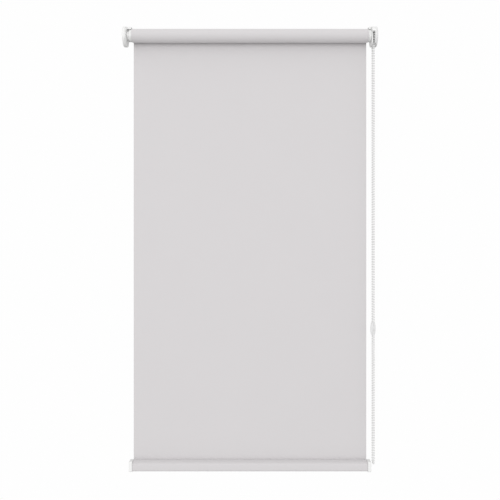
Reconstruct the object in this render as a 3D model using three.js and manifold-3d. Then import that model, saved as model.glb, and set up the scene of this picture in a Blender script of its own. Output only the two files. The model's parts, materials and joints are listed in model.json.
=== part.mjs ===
// Chain-operated blackout roller blind for a 60 cm window, in millimetres.
// X runs along the roller, Y towards the wall and Z up.
// The origin is at mid width, on the wall (Y = 0), at the height of the roller's axis.
// Every one-sided piece is modelled on the +X side and mirrored where it belongs on the other.

import * as THREE from 'three';
import { mergeVertices } from 'three/addons/utils/BufferGeometryUtils.js';
import Module from 'manifold-3d';

const wasm = await Module();
wasm.setup();

// Clearances and steps of round forms
const seatGap = 0.3;
const runGap = 0.35;
const overrun = 1;
const roundSides = 40;
const smallSides = 20;
const arcSteps = 10;
const outlineSteps = 6;
const roundSteps = 3;
const coilSteps = 8;
const coilSides = 5;
const weldTolerance = 1e-4;

// Cloth and its drop, with the blind fully down
const clothWidth = 565;
const clothThickness = 0.4;
const wrapsLeft = 2;
const railDrop = 1023;
const clothEndX = clothWidth / 2;

// Roller tube
const tubeRadius = 15;
const tubeWall = 1;
const tubeRibs = 4;
const tubeRibWidth = 1.6;
const tubeRibHeight = 1.2;
const tubeBore = tubeRadius - tubeWall;

// Adhesive strip that holds the cloth's top edge on the tube
const tapeThickness = 0.2;
const tapeWidth = 10;
const tapeSkin = 0.1;
const rollBore = tubeRadius + tapeThickness + 2 * tapeSkin;
const rollRadius = rollBore + wrapsLeft * clothThickness;

// Where the roller hangs
const axisToWall = 26.5;
const axisY = -axisToWall;
const sheetFrontY = axisY + rollRadius + seatGap;
const sheetBackY = sheetFrontY + clothThickness;

// Brackets: a round cheek, a ceiling flange and a wall flange of one thickness
const bracketWall = 2.2;
const cheekRadius = 23.5;
const cheekDrop = 2.8;
const ceilingZ = cheekRadius - cheekDrop;
const flangeToCloth = 1.5;
const flangeInnerX = clothEndX + flangeToCloth;
const flangeFront = 3.5;
const flangeCorner = 5;
const flangeLip = 5.5;
const wallFlangeFoot = 6;
const idleHub = 12.6;
const idleCheekX = clothEndX + idleHub;
const screwHoleRadius = 2.25;
const screwSlotLength = 9;
const wallScrewZ = 7;
const ceilingScrewY = -14;

// Cover clips, placed round the cheek's middle
const clipRadius = 1.6;
const clipCircle = 19;
const clipTurnShares = [-15 / 360, 45 / 360, 135 / 360];
const clipProud = 0.4;
const clipDepth = 3.5;

// Covers
const coverEdge = 1.6;
const coverBase = 1.8;
const idleCoverDepth = 5.7;
const driveCoverDepth = 2;
const coverRound = 1.4;

// Hub that both plugs show between the roll and the bracket
const hubRadius = 13;
const plugFlangeRadius = 14.8;
const plugFlange = 1;
const idlePlugReach = 20;
const idleCollar = 5.5;
const idleNeckRadius = 10;
const drivePlugReach = 24;
const plugRadius = tubeBore - seatGap;
const plugStartX = clothEndX + seatGap;
const hubStartX = plugStartX + plugFlange;

// Idle end: sprung pin, its spring and the cap behind it
const pinRadius = 3;
const pinTravel = 6.2;
const pinTipX = idleCheekX - seatGap + pinTravel;
const pinTipRound = 1.2;
const pinShoulderRadius = 4.8;
const pinShoulder = 3;
const pinTailRadius = 2.2;
const pinTail = 12.7;
const pinFrontWall = 4.7;
const pinChamberRadius = 5.2;
const springCap = 4;
const capLip = 1.2;
const socketBossRadius = 5.4;
const socketBoss = 3;
const pinWire = 0.8;
const pinSpringRadius = 3.6;
const pinSpringTurns = 8;

// Bead chain and its wheel
const chainPitch = 6;
const chainBead = 4.5;
const wheelPockets = 10;
const chainDrop = 1028.6;
const chainJoinZ = -24;
const chainSides = 8;
const wheelPitchRadius = (chainPitch * wheelPockets) / (2 * Math.PI);
const wheelHalfWidth = 3;
const wheelRadius = 12.6;
const wheelEndGap = 0.4;
const grooveRadius = chainBead / 2 + seatGap;
const pocketRadius = 2.8;
const pocketDepthShare = 1.3;
const wheelSleeveRadius = 8.5;

// Clutch: fixed spindle, two wrap springs and the fingers that turn them
const spindleRadius = 4.5;
const spindleTenon = 6.4;
const spindleTail = 2.4;
const spindleChamfer = 0.5;
const clutchWall = 3.5;
const clipThickness = 1;
const clipOuterRadius = 7;
const clipInnerRadius = 3.9;
const clipMouthShare = 60 / 360;
const fingerInnerRadius = 6.1;
const fingerSpanShare = 150 / 360;
const wrapWire = 0.9;
const wrapPitch = 1.4;
const wrapTurns = 5.5;
const wrapRadius = spindleRadius + runGap + wrapWire / 2;
const wrapTang = 2.2;
const wrapSpace = 1.7;

// Chain housing, and the places along X that follow from it
const driveHub = 8;
const housingWall = 2.2;
const housingStartX = clothEndX + driveHub;
const chainPlaneX = housingStartX + housingWall + seatGap + wheelHalfWidth;
const driveCheekX = chainPlaneX + wheelHalfWidth + wheelEndGap;
const guardGap = 0.8;
const guardRadius = wheelRadius + guardGap;
const dividerNotch = 1.6;
const frontSlotZ = 5;
const frontSlotLip = 2.3;
const frontSlotSetback = 8;
const dividerHalf = 5.6;

// Bottom rail, hem pocket and end caps
const pocketHeight = 23.5;
const pocketDepth = 21.7;
const pocketBack = 6;
const pocketShoulder = 7;
const pocketFoot = 6;
const pocketCorner = 2;
const railWall = 1.2;
const railEndShort = 0.5;
const capProud = 1;
const capLength = 7.8;
const capRound = 1.5;
const capCorner = 4;
const capTongue = 12;
const capTongueWall = 1.4;

// Chain connector
const connectorDrop = 704.6;
const connectorLength = 29;
const connectorHalfDepth = 4.9;
const connectorHalfWidth = 6.4;
const connectorOffset = 1.5;
const connectorNeckShare = 0.74;
const connectorShoulderShare = 0.72;
const pegRadius = 0.8;
const pegReach = 1.6;
const pegX = 5.2;
const pegSpread = 6.5;

const left = -1;
const right = 1;

// Finishes
const whitePlastic = { color: 0xf3f3f1, roughness: 0.35, metalness: 0 };
const innerPlastic = { color: 0xdcdcd8, roughness: 0.5, metalness: 0 };
const cloth = { color: 0xd6d4d5, roughness: 0.9, metalness: 0 };
const aluminium = { color: 0xb9bcc0, roughness: 0.4, metalness: 0.9 };
const steel = { color: 0x9a9da1, roughness: 0.35, metalness: 1 };
const tape = { color: 0xe9e4d2, roughness: 0.8, metalness: 0 };

// Outlines are drawn as (Y, Z) and run along X; turned profiles are (radius, X).
const outlineToX = new THREE.Matrix4().makeBasis(
  new THREE.Vector3(0, 1, 0), new THREE.Vector3(0, 0, 1), new THREE.Vector3(1, 0, 0));
const profileToX = new THREE.Matrix4().makeBasis(
  new THREE.Vector3(0, 0, 1), new THREE.Vector3(1, 0, 0), new THREE.Vector3(0, 1, 0));
const profileToZ = new THREE.Matrix4().makeBasis(
  new THREE.Vector3(1, 0, 0), new THREE.Vector3(0, 0, 1), new THREE.Vector3(0, -1, 0));

// A closed geometry becomes a solid: shared vertices merged, collapsed triangles dropped.
function solid(geometry) {
  geometry.deleteAttribute('normal');
  geometry.deleteAttribute('uv');
  const merged = mergeVertices(geometry, weldTolerance);
  const index = merged.index.array;
  const kept = [];
  for (let i = 0; i < index.length; i += 3) {
    const [a, b, c] = [index[i], index[i + 1], index[i + 2]];
    if (a !== b && b !== c && c !== a) kept.push(a, b, c);
  }
  return new wasm.Manifold(new wasm.Mesh({
    numProp: 3,
    vertProperties: merged.attributes.position.array,
    triVerts: Uint32Array.from(kept),
  }));
}

// A named mesh from a solid; the left side is the mirror image of the right.
function piece(name, body, finish, side = right) {
  const mesh = body.getMesh();
  const positions = Float32Array.from(mesh.vertProperties, (v, i) => (i % 3 === 0 ? side * v : v));
  const index = Uint32Array.from(mesh.triVerts);
  if (side === left) {
    for (let i = 0; i < index.length; i += 3) {
      [index[i + 1], index[i + 2]] = [index[i + 2], index[i + 1]];
    }
  }
  const geometry = new THREE.BufferGeometry();
  geometry.setAttribute('position', new THREE.BufferAttribute(positions, 3));
  geometry.setIndex(new THREE.BufferAttribute(index, 1));
  geometry.computeVertexNormals();
  const part = new THREE.Mesh(geometry, new THREE.MeshStandardMaterial(finish));
  part.name = name;
  return part;
}

function block(x0, x1, y0, y1, z0, z1) {
  const geometry = new THREE.BoxGeometry(x1 - x0, y1 - y0, z1 - z0);
  geometry.translate((x0 + x1) / 2, (y0 + y1) / 2, (z0 + z1) / 2);
  return solid(geometry);
}

// A (Y, Z) outline drawn out along X.
function prism(outline, x0, x1, curveSegments = outlineSteps) {
  const geometry = new THREE.ExtrudeGeometry(
    outline, { depth: x1 - x0, bevelEnabled: false, curveSegments });
  geometry.applyMatrix4(outlineToX);
  geometry.translate(x0, 0, 0);
  return solid(geometry);
}

// A closed profile of [X, radius] pairs turned about an axis along X.
function turned(profile, sides = roundSides, y = axisY, z = 0) {
  const points = profile.map(([x, radius]) => new THREE.Vector2(radius, x));
  if (THREE.ShapeUtils.area(points) < 0) points.reverse();
  points.push(points[0].clone());
  const geometry = new THREE.LatheGeometry(points, sides);
  geometry.applyMatrix4(profileToX);
  geometry.translate(0, y, z);
  return solid(geometry);
}

function rod(x0, x1, radius, sides = roundSides, y = axisY, z = 0) {
  return turned([[x0, 0], [x1, 0], [x1, radius], [x0, radius]], sides, y, z);
}

// A ring sector about the roller's axis, as a (Y, Z) outline.
function sector(inner, outer, from, to) {
  const outline = new THREE.Shape();
  outline.absarc(axisY, 0, outer, from, to, false);
  outline.absarc(axisY, 0, inner, to, from, true);
  return outline;
}

// Places round the middle of the bracket's cheek.
function onCheek(turnShare, circle) {
  const angle = turnShare * 2 * Math.PI;
  return [axisY + circle * Math.cos(angle), circle * Math.sin(angle) - cheekDrop];
}

// Brackets

function cheekDisc(x0, x1, radius = cheekRadius) {
  return rod(x0, x1, radius, roundSides, axisY, -cheekDrop);
}

// The ceiling flange, with a lip turned down along its front edge.
function ceilingFlange(x1, lipEndX) {
  const front = axisY - flangeFront;
  const lipFoot = ceilingZ - flangeLip;
  const underside = ceilingZ - bracketWall;
  const outline = new THREE.Shape();
  outline.moveTo(flangeInnerX, 0);
  outline.lineTo(flangeInnerX, front + flangeCorner);
  outline.absarc(flangeInnerX + flangeCorner, front + flangeCorner, flangeCorner,
    Math.PI, 1.5 * Math.PI, false);
  outline.lineTo(x1, front);
  outline.lineTo(x1, 0);
  const geometry = new THREE.ExtrudeGeometry(
    outline, { depth: flangeLip, bevelEnabled: false, curveSegments: outlineSteps / 2 });
  geometry.translate(0, 0, lipFoot);
  const behindLip = block(flangeInnerX - overrun, x1 + overrun,
    front + bracketWall, overrun, lipFoot - overrun, underside);
  const besideLip = block(lipEndX, x1 + overrun,
    front - overrun, overrun, lipFoot - overrun, underside);
  return solid(geometry).subtract(behindLip).subtract(besideLip);
}

// A slotted screw hole along Y or Z, longer across the blind than it is wide.
function screwSlot(x, across, alongZ) {
  const half = (screwSlotLength - 2 * screwHoleRadius) / 2;
  const outline = new THREE.Shape();
  outline.absarc(-half, 0, screwHoleRadius, Math.PI / 2, 1.5 * Math.PI, false);
  outline.absarc(half, 0, screwHoleRadius, -Math.PI / 2, Math.PI / 2, false);
  const depth = bracketWall + 2 * overrun;
  const geometry = new THREE.ExtrudeGeometry(
    outline, { depth, bevelEnabled: false, curveSegments: outlineSteps / 2 });
  if (alongZ) {
    geometry.translate(x, across, ceilingZ - bracketWall - overrun);
  } else {
    geometry.rotateX(Math.PI / 2);
    geometry.translate(x, overrun, across);
  }
  return solid(geometry);
}

function bracket(cheekX, lipEndX) {
  const outerX = cheekX + bracketWall;
  const screwX = (flangeInnerX + cheekX) / 2;
  let body = cheekDisc(cheekX, outerX)
    .add(block(cheekX, outerX, axisY, 0, -wallFlangeFoot, ceilingZ))
    .add(ceilingFlange(outerX, lipEndX))
    .add(block(flangeInnerX, outerX, -bracketWall, 0, -wallFlangeFoot, ceilingZ))
    .subtract(screwSlot(screwX, wallScrewZ, false))
    .subtract(screwSlot(screwX, ceilingScrewY, true));
  for (const share of clipTurnShares) {
    const [y, z] = onCheek(share, clipCircle);
    body = body.subtract(
      rod(cheekX - overrun, outerX + overrun, clipRadius + runGap, smallSides, y, z));
  }
  return body;
}

function idleBracket() {
  const outerX = idleCheekX + bracketWall;
  const body = bracket(idleCheekX, outerX)
    .add(rod(idleCheekX, outerX + socketBoss, socketBossRadius))
    .subtract(rod(idleCheekX - overrun, outerX + socketBoss + overrun, pinRadius + runGap));
  return piece('idle_bracket', body, whitePlastic, left);
}

function driveBracket() {
  const half = spindleTenon / 2 + seatGap;
  const outerX = driveCheekX + bracketWall;
  const hole = block(
    driveCheekX - overrun, outerX + overrun, axisY - half, axisY + half, -half, half);
  const body = bracket(driveCheekX, housingStartX - seatGap).subtract(hole);
  return piece('drive_bracket', body, whitePlastic);
}

// Snap-on covers

function clipPins(fromX, toX) {
  const [first, ...others] = clipTurnShares.map((share) => {
    const [y, z] = onCheek(share, clipCircle);
    return rod(fromX, toX, clipRadius, smallSides, y, z);
  });
  return others.reduce((body, pin) => body.add(pin), first);
}

function coverShell(startX, depth, hollow) {
  const endX = startX + depth;
  const round = [];
  for (let i = 0; i <= roundSteps; i++) {
    const turn = (Math.PI / 2) * (i / roundSteps);
    round.push([
      endX - coverRound + coverRound * Math.sin(turn),
      cheekRadius - coverRound + coverRound * Math.cos(turn),
    ]);
  }
  const inside = hollow
    ? [[endX - coverBase, 0], [endX - coverBase, cheekRadius - coverEdge],
      [startX, cheekRadius - coverEdge]]
    : [[startX, 0]];
  return turned([[startX, cheekRadius], ...round, [endX, 0], ...inside],
    roundSides, axisY, -cheekDrop);
}

function idleCover() {
  const startX = idleCheekX + bracketWall + seatGap;
  const baseX = startX + idleCoverDepth - coverBase;
  const body = coverShell(startX, idleCoverDepth, true)
    .add(clipPins(idleCheekX - clipProud, baseX + overrun));
  return piece('idle_cover', body, whitePlastic, left);
}

function driveCover() {
  const startX = driveCheekX + bracketWall + seatGap;
  const body = coverShell(startX, driveCoverDepth, false)
    .add(clipPins(driveCheekX - seatGap - clipDepth, startX + overrun));
  return piece('drive_cover', body, whitePlastic);
}

// Chain housing: open to the outside, at the bottom and at the lower front

function driveHousing() {
  const endX = driveCheekX - seatGap;
  const floorX = housingStartX + housingWall;
  const far = cheekRadius + cheekDrop + overrun;
  const dividerTop = -(guardRadius + dividerNotch);
  const channel = block(
    floorX, endX + overrun, axisY - guardRadius, axisY + guardRadius, -far, 0);
  const slotEndX = endX - frontSlotLip;
  const frontSlot = block(floorX, slotEndX, axisY - far, axisY, -far, frontSlotZ);
  const wallSetback = block(housingStartX - overrun, slotEndX,
    axisY - far, axisY - cheekRadius + frontSlotSetback, -far, frontSlotZ);
  const flangeSeat = block(
    housingStartX - overrun, endX + overrun, axisY - flangeFront - seatGap, 0,
    ceilingZ - bracketWall - seatGap, far);
  const divider = block(
    floorX - overrun, endX, axisY - dividerHalf, axisY + dividerHalf, -far, dividerTop);
  let body = cheekDisc(housingStartX, endX)
    .subtract(rod(floorX, endX + overrun, guardRadius))
    .subtract(channel)
    .subtract(frontSlot)
    .subtract(wallSetback)
    .subtract(flangeSeat)
    .subtract(rod(housingStartX - overrun, floorX + overrun, wheelSleeveRadius + runGap))
    .add(divider.intersect(cheekDisc(housingStartX, endX)));
  for (const share of clipTurnShares) {
    const [y, z] = onCheek(share, clipCircle);
    body = body.subtract(rod(
      endX - clipDepth - seatGap, endX + overrun, clipRadius + runGap, smallSides, y, z));
  }
  return piece('drive_housing', body, whitePlastic);
}

// Clutch, outwards from the blind end of the drive plug

const clutchStartX = plugStartX - drivePlugReach;
const clutchInnerX = clutchStartX + clutchWall;
const clipGrooveEndX = clutchStartX - seatGap;
const clipGrooveX = clipGrooveEndX - clipThickness - 2 * seatGap;

function driveSpindle() {
  const half = spindleTenon / 2;
  const shoulderX = driveCheekX - seatGap;
  const spindleEndX = clipGrooveX - spindleTail;
  const body = turned([
    [spindleEndX, 0], [spindleEndX, spindleRadius - spindleChamfer],
    [spindleEndX + spindleChamfer, spindleRadius], [clipGrooveX, spindleRadius],
    [clipGrooveX, clipInnerRadius - seatGap], [clipGrooveEndX, clipInnerRadius - seatGap],
    [clipGrooveEndX, spindleRadius], [shoulderX, spindleRadius], [shoulderX, 0],
  ], smallSides).add(block(
    shoulderX - overrun, driveCheekX + bracketWall, axisY - half, axisY + half, -half, half));
  return piece('drive_spindle', body, innerPlastic);
}

function spindleClip() {
  const mouth = clipMouthShare * Math.PI;
  const startX = clipGrooveX + seatGap;
  const outline = sector(clipInnerRadius, clipOuterRadius,
    mouth - Math.PI / 2, 2 * Math.PI - mouth - Math.PI / 2);
  return piece('spindle_clip', prism(outline, startX, startX + clipThickness), steel);
}

// A finger of the clutch, centred on the given direction round the axis.
function finger(x0, x1, outer, middle) {
  const half = fingerSpanShare * Math.PI;
  return prism(sector(fingerInnerRadius, outer, middle - half, middle + half), x0, x1);
}

function chainWheel() {
  const startX = chainPlaneX - wheelHalfWidth;
  const endX = chainPlaneX + wheelHalfWidth;
  const bore = spindleRadius + seatGap;
  const groove = [];
  for (let i = 0; i <= outlineSteps; i++) {
    const turn = Math.PI * (i / outlineSteps);
    groove.push([
      chainPlaneX + grooveRadius * Math.cos(turn),
      wheelPitchRadius - grooveRadius * Math.sin(turn),
    ]);
  }
  let body = turned([
    [hubStartX, bore], [endX, bore], [endX, wheelRadius],
    [chainPlaneX + grooveRadius, wheelRadius], ...groove,
    [chainPlaneX - grooveRadius, wheelRadius], [startX, wheelRadius],
    [startX, wheelSleeveRadius], [hubStartX, wheelSleeveRadius],
  ], 3 * wheelPockets).add(finger(clutchInnerX + seatGap, hubStartX + overrun, wheelSleeveRadius, 0));
  for (let i = 0; i < wheelPockets; i++) {
    const pocket = new THREE.SphereGeometry(pocketRadius, coilSteps, outlineSteps);
    pocket.scale(1, pocketDepthShare, 1);
    pocket.translate(0, wheelPitchRadius, 0);
    pocket.rotateX((2 * Math.PI * (i + 1 / 2)) / wheelPockets);
    pocket.translate(chainPlaneX, axisY, 0);
    body = body.subtract(solid(pocket));
  }
  return piece('chain_wheel', body, whitePlastic);
}

// The sleeves that fit the tube's bore, with a slot for each of its ribs.
function tubeSlots(body, reach) {
  const half = tubeRibWidth / 2 + seatGap;
  for (let i = 0; i < tubeRibs; i++) {
    const slot = new THREE.BoxGeometry(reach + overrun, 2 * (tubeRibHeight + seatGap), 2 * half);
    slot.translate(plugStartX - (reach + overrun) / 2, tubeBore, 0);
    slot.rotateX((2 * Math.PI * (i + 1 / 2)) / tubeRibs);
    slot.translate(0, axisY, 0);
    body = body.subtract(solid(slot));
  }
  return body;
}

function drivePlug() {
  const endX = housingStartX - seatGap;
  const bore = wheelSleeveRadius + runGap;
  const shaft = spindleRadius + seatGap;
  const body = turned([
    [clutchStartX, shaft], [clutchInnerX, shaft], [clutchInnerX, bore], [endX, bore],
    [endX, hubRadius], [hubStartX, hubRadius], [hubStartX, plugFlangeRadius],
    [plugStartX, plugFlangeRadius], [plugStartX, plugRadius], [clutchStartX, plugRadius],
  ]).add(finger(clutchInnerX - overrun, plugStartX, bore + overrun, Math.PI));
  return piece('drive_plug', tubeSlots(body, drivePlugReach), whitePlastic);
}

// A round wire's or cord's section, with few sides.
function roundSection(diameter, sides) {
  const points = [];
  for (let i = 0; i < sides; i++) {
    const angle = (2 * Math.PI * i) / sides;
    points.push(new THREE.Vector2(Math.cos(angle), Math.sin(angle)).multiplyScalar(diameter / 2));
  }
  return new THREE.Shape(points);
}

// A helix about an axis along X.
class Helix extends THREE.Curve {
  constructor(startX, length, radius, turns, startTurn) {
    super();
    Object.assign(this, { startX, length, radius, turns, startTurn });
  }

  getPoint(t, target = new THREE.Vector3()) {
    const angle = 2 * Math.PI * (this.startTurn + t * this.turns);
    return target.set(
      this.startX + t * this.length,
      axisY + this.radius * Math.cos(angle),
      this.radius * Math.sin(angle));
  }
}

// The least clear distance between neighbouring turns of a coil, measured on its points.
function leastGap(helix, wire) {
  const samples = helix.getSpacedPoints(Math.ceil(helix.turns * smallSides));
  const apart = Math.ceil(samples.length / helix.turns / 2);
  let least = Infinity;
  for (let i = 0; i < samples.length; i++) {
    for (let j = i + apart; j < samples.length; j++) {
      least = Math.min(least, samples[i].distanceTo(samples[j]) - wire);
    }
  }
  return least;
}

function coil(name, helix, wire) {
  const steps = Math.ceil(helix.turns * coilSteps);
  const geometry = new THREE.ExtrudeGeometry(
    roundSection(wire, coilSides), { steps, extrudePath: helix });
  console.log(`${name}: least gap between turns ${leastGap(helix, wire).toFixed(2)} mm`);
  return solid(geometry);
}

// Each wrap spring ends in two tangs that stand in the spaces between the fingers.
function wrapSpring(number) {
  const length = wrapTurns * wrapPitch;
  const startX = clutchInnerX + seatGap + wrapWire / 2 + (number - 1) * (length + wrapSpace);
  const startTurn = 1 / 4;
  const helix = new Helix(startX, length, wrapRadius, wrapTurns, startTurn);
  const name = `wrap_spring_${number}`;
  let body = coil(name, helix, wrapWire);
  for (const [x, turn] of [[startX, startTurn], [startX + length, startTurn + wrapTurns]]) {
    const tang = new THREE.CylinderGeometry(wrapWire / 2, wrapWire / 2, wrapTang, arcSteps);
    tang.translate(0, wrapRadius + wrapTang / 2, 0);
    tang.rotateX(2 * Math.PI * turn);
    tang.translate(x, axisY, 0);
    body = body.add(solid(tang));
  }
  return piece(name, body, steel);
}

// Idle end

function idlePlug() {
  const startX = plugStartX - idlePlugReach;
  const endX = idleCheekX - seatGap;
  const chamberEndX = endX - pinFrontWall;
  const body = turned([
    [startX, pinChamberRadius], [chamberEndX, pinChamberRadius],
    [chamberEndX, pinRadius + seatGap], [endX, pinRadius + seatGap], [endX, idleNeckRadius],
    [hubStartX + idleCollar, idleNeckRadius], [hubStartX + idleCollar, hubRadius],
    [hubStartX, hubRadius], [hubStartX, plugFlangeRadius], [plugStartX, plugFlangeRadius],
    [plugStartX, plugRadius], [startX, plugRadius],
  ]);
  return piece('idle_plug', tubeSlots(body, idlePlugReach), whitePlastic, left);
}

const shoulderEndX = idleCheekX - seatGap - pinFrontWall - seatGap;
const shoulderStartX = shoulderEndX - pinShoulder;

function idlePin() {
  const body = turned([
    [shoulderStartX - pinTail, 0], [shoulderStartX - pinTail, pinTailRadius],
    [shoulderStartX, pinTailRadius], [shoulderStartX, pinShoulderRadius],
    [shoulderEndX, pinShoulderRadius], [shoulderEndX, pinRadius],
    [pinTipX - pinTipRound, pinRadius], [pinTipX, pinRadius - pinTipRound], [pinTipX, 0],
  ], smallSides);
  return piece('idle_pin', body, steel, left);
}

function idleSpringCap() {
  const startX = plugStartX - idlePlugReach - capLip;
  const body = rod(startX, startX + springCap, pinChamberRadius - seatGap, smallSides)
    .add(rod(startX, startX + capLip - seatGap, pinChamberRadius + capLip, smallSides));
  return piece('idle_spring_cap', body, innerPlastic, left);
}

function idlePinSpring() {
  const capEndX = plugStartX - idlePlugReach - capLip + springCap;
  const startX = capEndX + seatGap + pinWire / 2;
  const length = shoulderStartX - seatGap - pinWire / 2 - startX;
  const helix = new Helix(startX, length, pinSpringRadius, pinSpringTurns, 0);
  return piece('idle_pin_spring', coil('idle_pin_spring', helix, pinWire), steel, left);
}

// Roller

function rollerTube() {
  const outline = new THREE.Shape();
  outline.absarc(axisY, 0, tubeRadius, 0, 2 * Math.PI, false);
  const bore = new THREE.Path();
  const half = Math.asin(tubeRibWidth / 2 / tubeBore);
  const step = (2 * Math.PI) / tubeRibs;
  for (let i = 0; i < tubeRibs; i++) {
    const rib = step * (i + 1 / 2);
    bore.absarc(axisY, 0, tubeBore - tubeRibHeight, rib - half, rib + half, false);
    bore.absarc(axisY, 0, tubeBore, rib + half, rib + step - half, false);
  }
  outline.holes.push(bore);
  return piece('roller_tube', prism(outline, -clothEndX, clothEndX, roundSides / 4), aluminium);
}

function fixingTape() {
  const half = tapeWidth / (2 * tubeRadius);
  const middle = Math.PI / 3;
  const outline = sector(tubeRadius + tapeSkin, tubeRadius + tapeSkin + tapeThickness,
    middle - half, middle + half);
  return piece('fixing_tape', prism(outline, -clothEndX, clothEndX), tape);
}

// The cloth left on the tube: each turn lies one thickness further out than the last.
function clothRoll() {
  const outline = new THREE.Shape();
  for (let i = 0; i <= roundSides; i++) {
    const share = i / roundSides;
    const radius = rollRadius - clothThickness * share;
    const angle = 2 * Math.PI * share;
    const [y, z] = [axisY + radius * Math.cos(angle), radius * Math.sin(angle)];
    if (i === 0) outline.moveTo(y, z);
    else outline.lineTo(y, z);
  }
  const bore = new THREE.Path();
  bore.absarc(axisY, 0, rollBore, 0, 2 * Math.PI, false);
  outline.holes.push(bore);
  return piece('cloth_roll', prism(outline, -clothEndX, clothEndX, roundSides / 2), cloth);
}

// Hanging cloth: it leaves the back of the roll and ends at the hem pocket's back edge.
function hangingCloth() {
  const footZ = seatGap - railDrop - pocketCorner / 2;
  const body = block(-clothEndX, clothEndX, sheetFrontY, sheetBackY, footZ, 0);
  return piece('hanging_cloth', body, cloth);
}

// Bottom bar

// Section of the hem pocket, drawn in by the inset: flat back, wide round shoulder in front.
function pocketOutline(inset) {
  const half = pocketHeight / 2 - inset;
  const middle = -railDrop - pocketHeight / 2;
  const back = sheetBackY - inset;
  const corner = Math.max(pocketCorner - inset, pocketCorner / 4);
  const bulgeY = sheetBackY - pocketBack;
  const bulge = pocketDepth - pocketBack - inset;
  const shoulder = pocketShoulder - inset;
  const foot = pocketFoot - inset;
  const outline = new THREE.Shape();
  outline.moveTo(back, middle - half + corner);
  outline.lineTo(back, middle + half - corner);
  outline.absarc(back - corner, middle + half - corner, corner, 0, Math.PI / 2, false);
  outline.absellipse(
    bulgeY, middle + half - shoulder, bulge, shoulder, Math.PI / 2, Math.PI, false, 0);
  outline.absarc(bulgeY - bulge + foot, middle - half + foot, foot, Math.PI, 1.5 * Math.PI, false);
  outline.absarc(back - corner, middle - half + corner, corner, -Math.PI / 2, 0, false);
  return outline;
}

// A sleeve between two insets of the pocket's section.
function sleeve(outerInset, innerInset, x0, x1) {
  return prism(pocketOutline(outerInset), x0, x1)
    .subtract(prism(pocketOutline(innerInset), x0 - overrun, x1 + overrun));
}

const railInset = clothThickness + seatGap;

function hemPocket() {
  return piece('hem_pocket', sleeve(0, clothThickness, -clothEndX, clothEndX), cloth);
}

function bottomRail() {
  const endX = clothEndX - railEndShort;
  return piece('bottom_rail', sleeve(railInset, railInset + railWall, -endX, endX), aluminium);
}

// Section of an end cap, a rounded block proud of the pocket, before its edges' rounding is added.
function capOutline() {
  const inset = capRound - capProud;
  const corner = capCorner - capRound;
  const back = sheetBackY - inset - corner;
  const front = sheetBackY - pocketDepth + inset + corner;
  const top = -railDrop - inset - corner;
  const foot = -railDrop - pocketHeight + inset + corner;
  const outline = new THREE.Shape();
  outline.absarc(back, foot, corner, -Math.PI / 2, 0, false);
  outline.absarc(back, top, corner, 0, Math.PI / 2, false);
  outline.absarc(front, top, corner, Math.PI / 2, Math.PI, false);
  outline.absarc(front, foot, corner, Math.PI, 1.5 * Math.PI, false);
  return outline;
}

function railCap(name, side) {
  const startX = clothEndX + seatGap;
  const endX = startX + capLength;
  const tongueInset = railInset + railWall + seatGap;
  const geometry = new THREE.ExtrudeGeometry(capOutline(), {
    depth: 2 * (capLength - capRound),
    curveSegments: outlineSteps,
    bevelThickness: capRound,
    bevelSize: capRound,
    bevelSegments: roundSteps,
  });
  geometry.applyMatrix4(outlineToX);
  geometry.translate(startX - capLength + capRound, 0, 0);
  const far = pocketDepth + axisToWall;
  const body = solid(geometry)
    .intersect(block(startX, endX + overrun, -far, 0, -railDrop - 2 * pocketHeight, 0))
    .add(sleeve(tongueInset, tongueInset + capTongueWall, startX - capTongue, startX + overrun));
  return piece(name, body, whitePlastic, side);
}

// Bead chain, as four stretches of one closed loop

const chainFrontY = axisY - wheelPitchRadius;
const chainBackY = axisY + wheelPitchRadius;
const bendZ = wheelPitchRadius + chainBead / 2 - chainDrop;

// Route round a half turn, as shares of the wheel's pitch radius: across, then along.
const halfTurnShares = [
  [-1, 0], [-0.98, 0.2], [-0.92, 0.39], [-0.83, 0.56], [-0.71, 0.71], [-0.56, 0.83],
  [-0.39, 0.92], [-0.2, 0.98], [0, 1], [0.2, 0.98], [0.39, 0.92], [0.56, 0.83],
  [0.71, 0.71], [0.83, 0.56], [0.92, 0.39], [0.98, 0.2], [1, 0],
];

function halfTurn(middleZ, sign) {
  return halfTurnShares.map(([across, along]) => new THREE.Vector3(
    chainPlaneX, axisY + across * wheelPitchRadius, middleZ + sign * along * wheelPitchRadius));
}

function chainTube(name, points, steps) {
  const section = roundSection(chainBead, chainSides);
  const extrudePath = points.length === 2
    ? new THREE.LineCurve3(points[0], points[1])
    : new THREE.CatmullRomCurve3(points);
  const geometry = new THREE.ExtrudeGeometry(section, { steps, extrudePath });
  return piece(name, solid(geometry), whitePlastic);
}

function chainPieces() {
  const at = (y, z) => new THREE.Vector3(chainPlaneX, y, z);
  const strandTop = chainJoinZ - seatGap;
  const strandFoot = bendZ + seatGap;
  return [
    chainTube('chain_over_wheel',
      [at(chainFrontY, chainJoinZ), ...halfTurn(0, 1), at(chainBackY, chainJoinZ)],
      2 * arcSteps),
    chainTube('chain_front_strand',
      [at(chainFrontY, strandTop), at(chainFrontY, strandFoot)], arcSteps),
    chainTube('chain_bottom_bend', halfTurn(bendZ, -1), arcSteps + 2),
    chainTube('chain_back_strand',
      [at(chainBackY, strandFoot), at(chainBackY, strandTop)], arcSteps),
  ];
}

// Chain connector: two shells round the back strand, held by pegs

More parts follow.
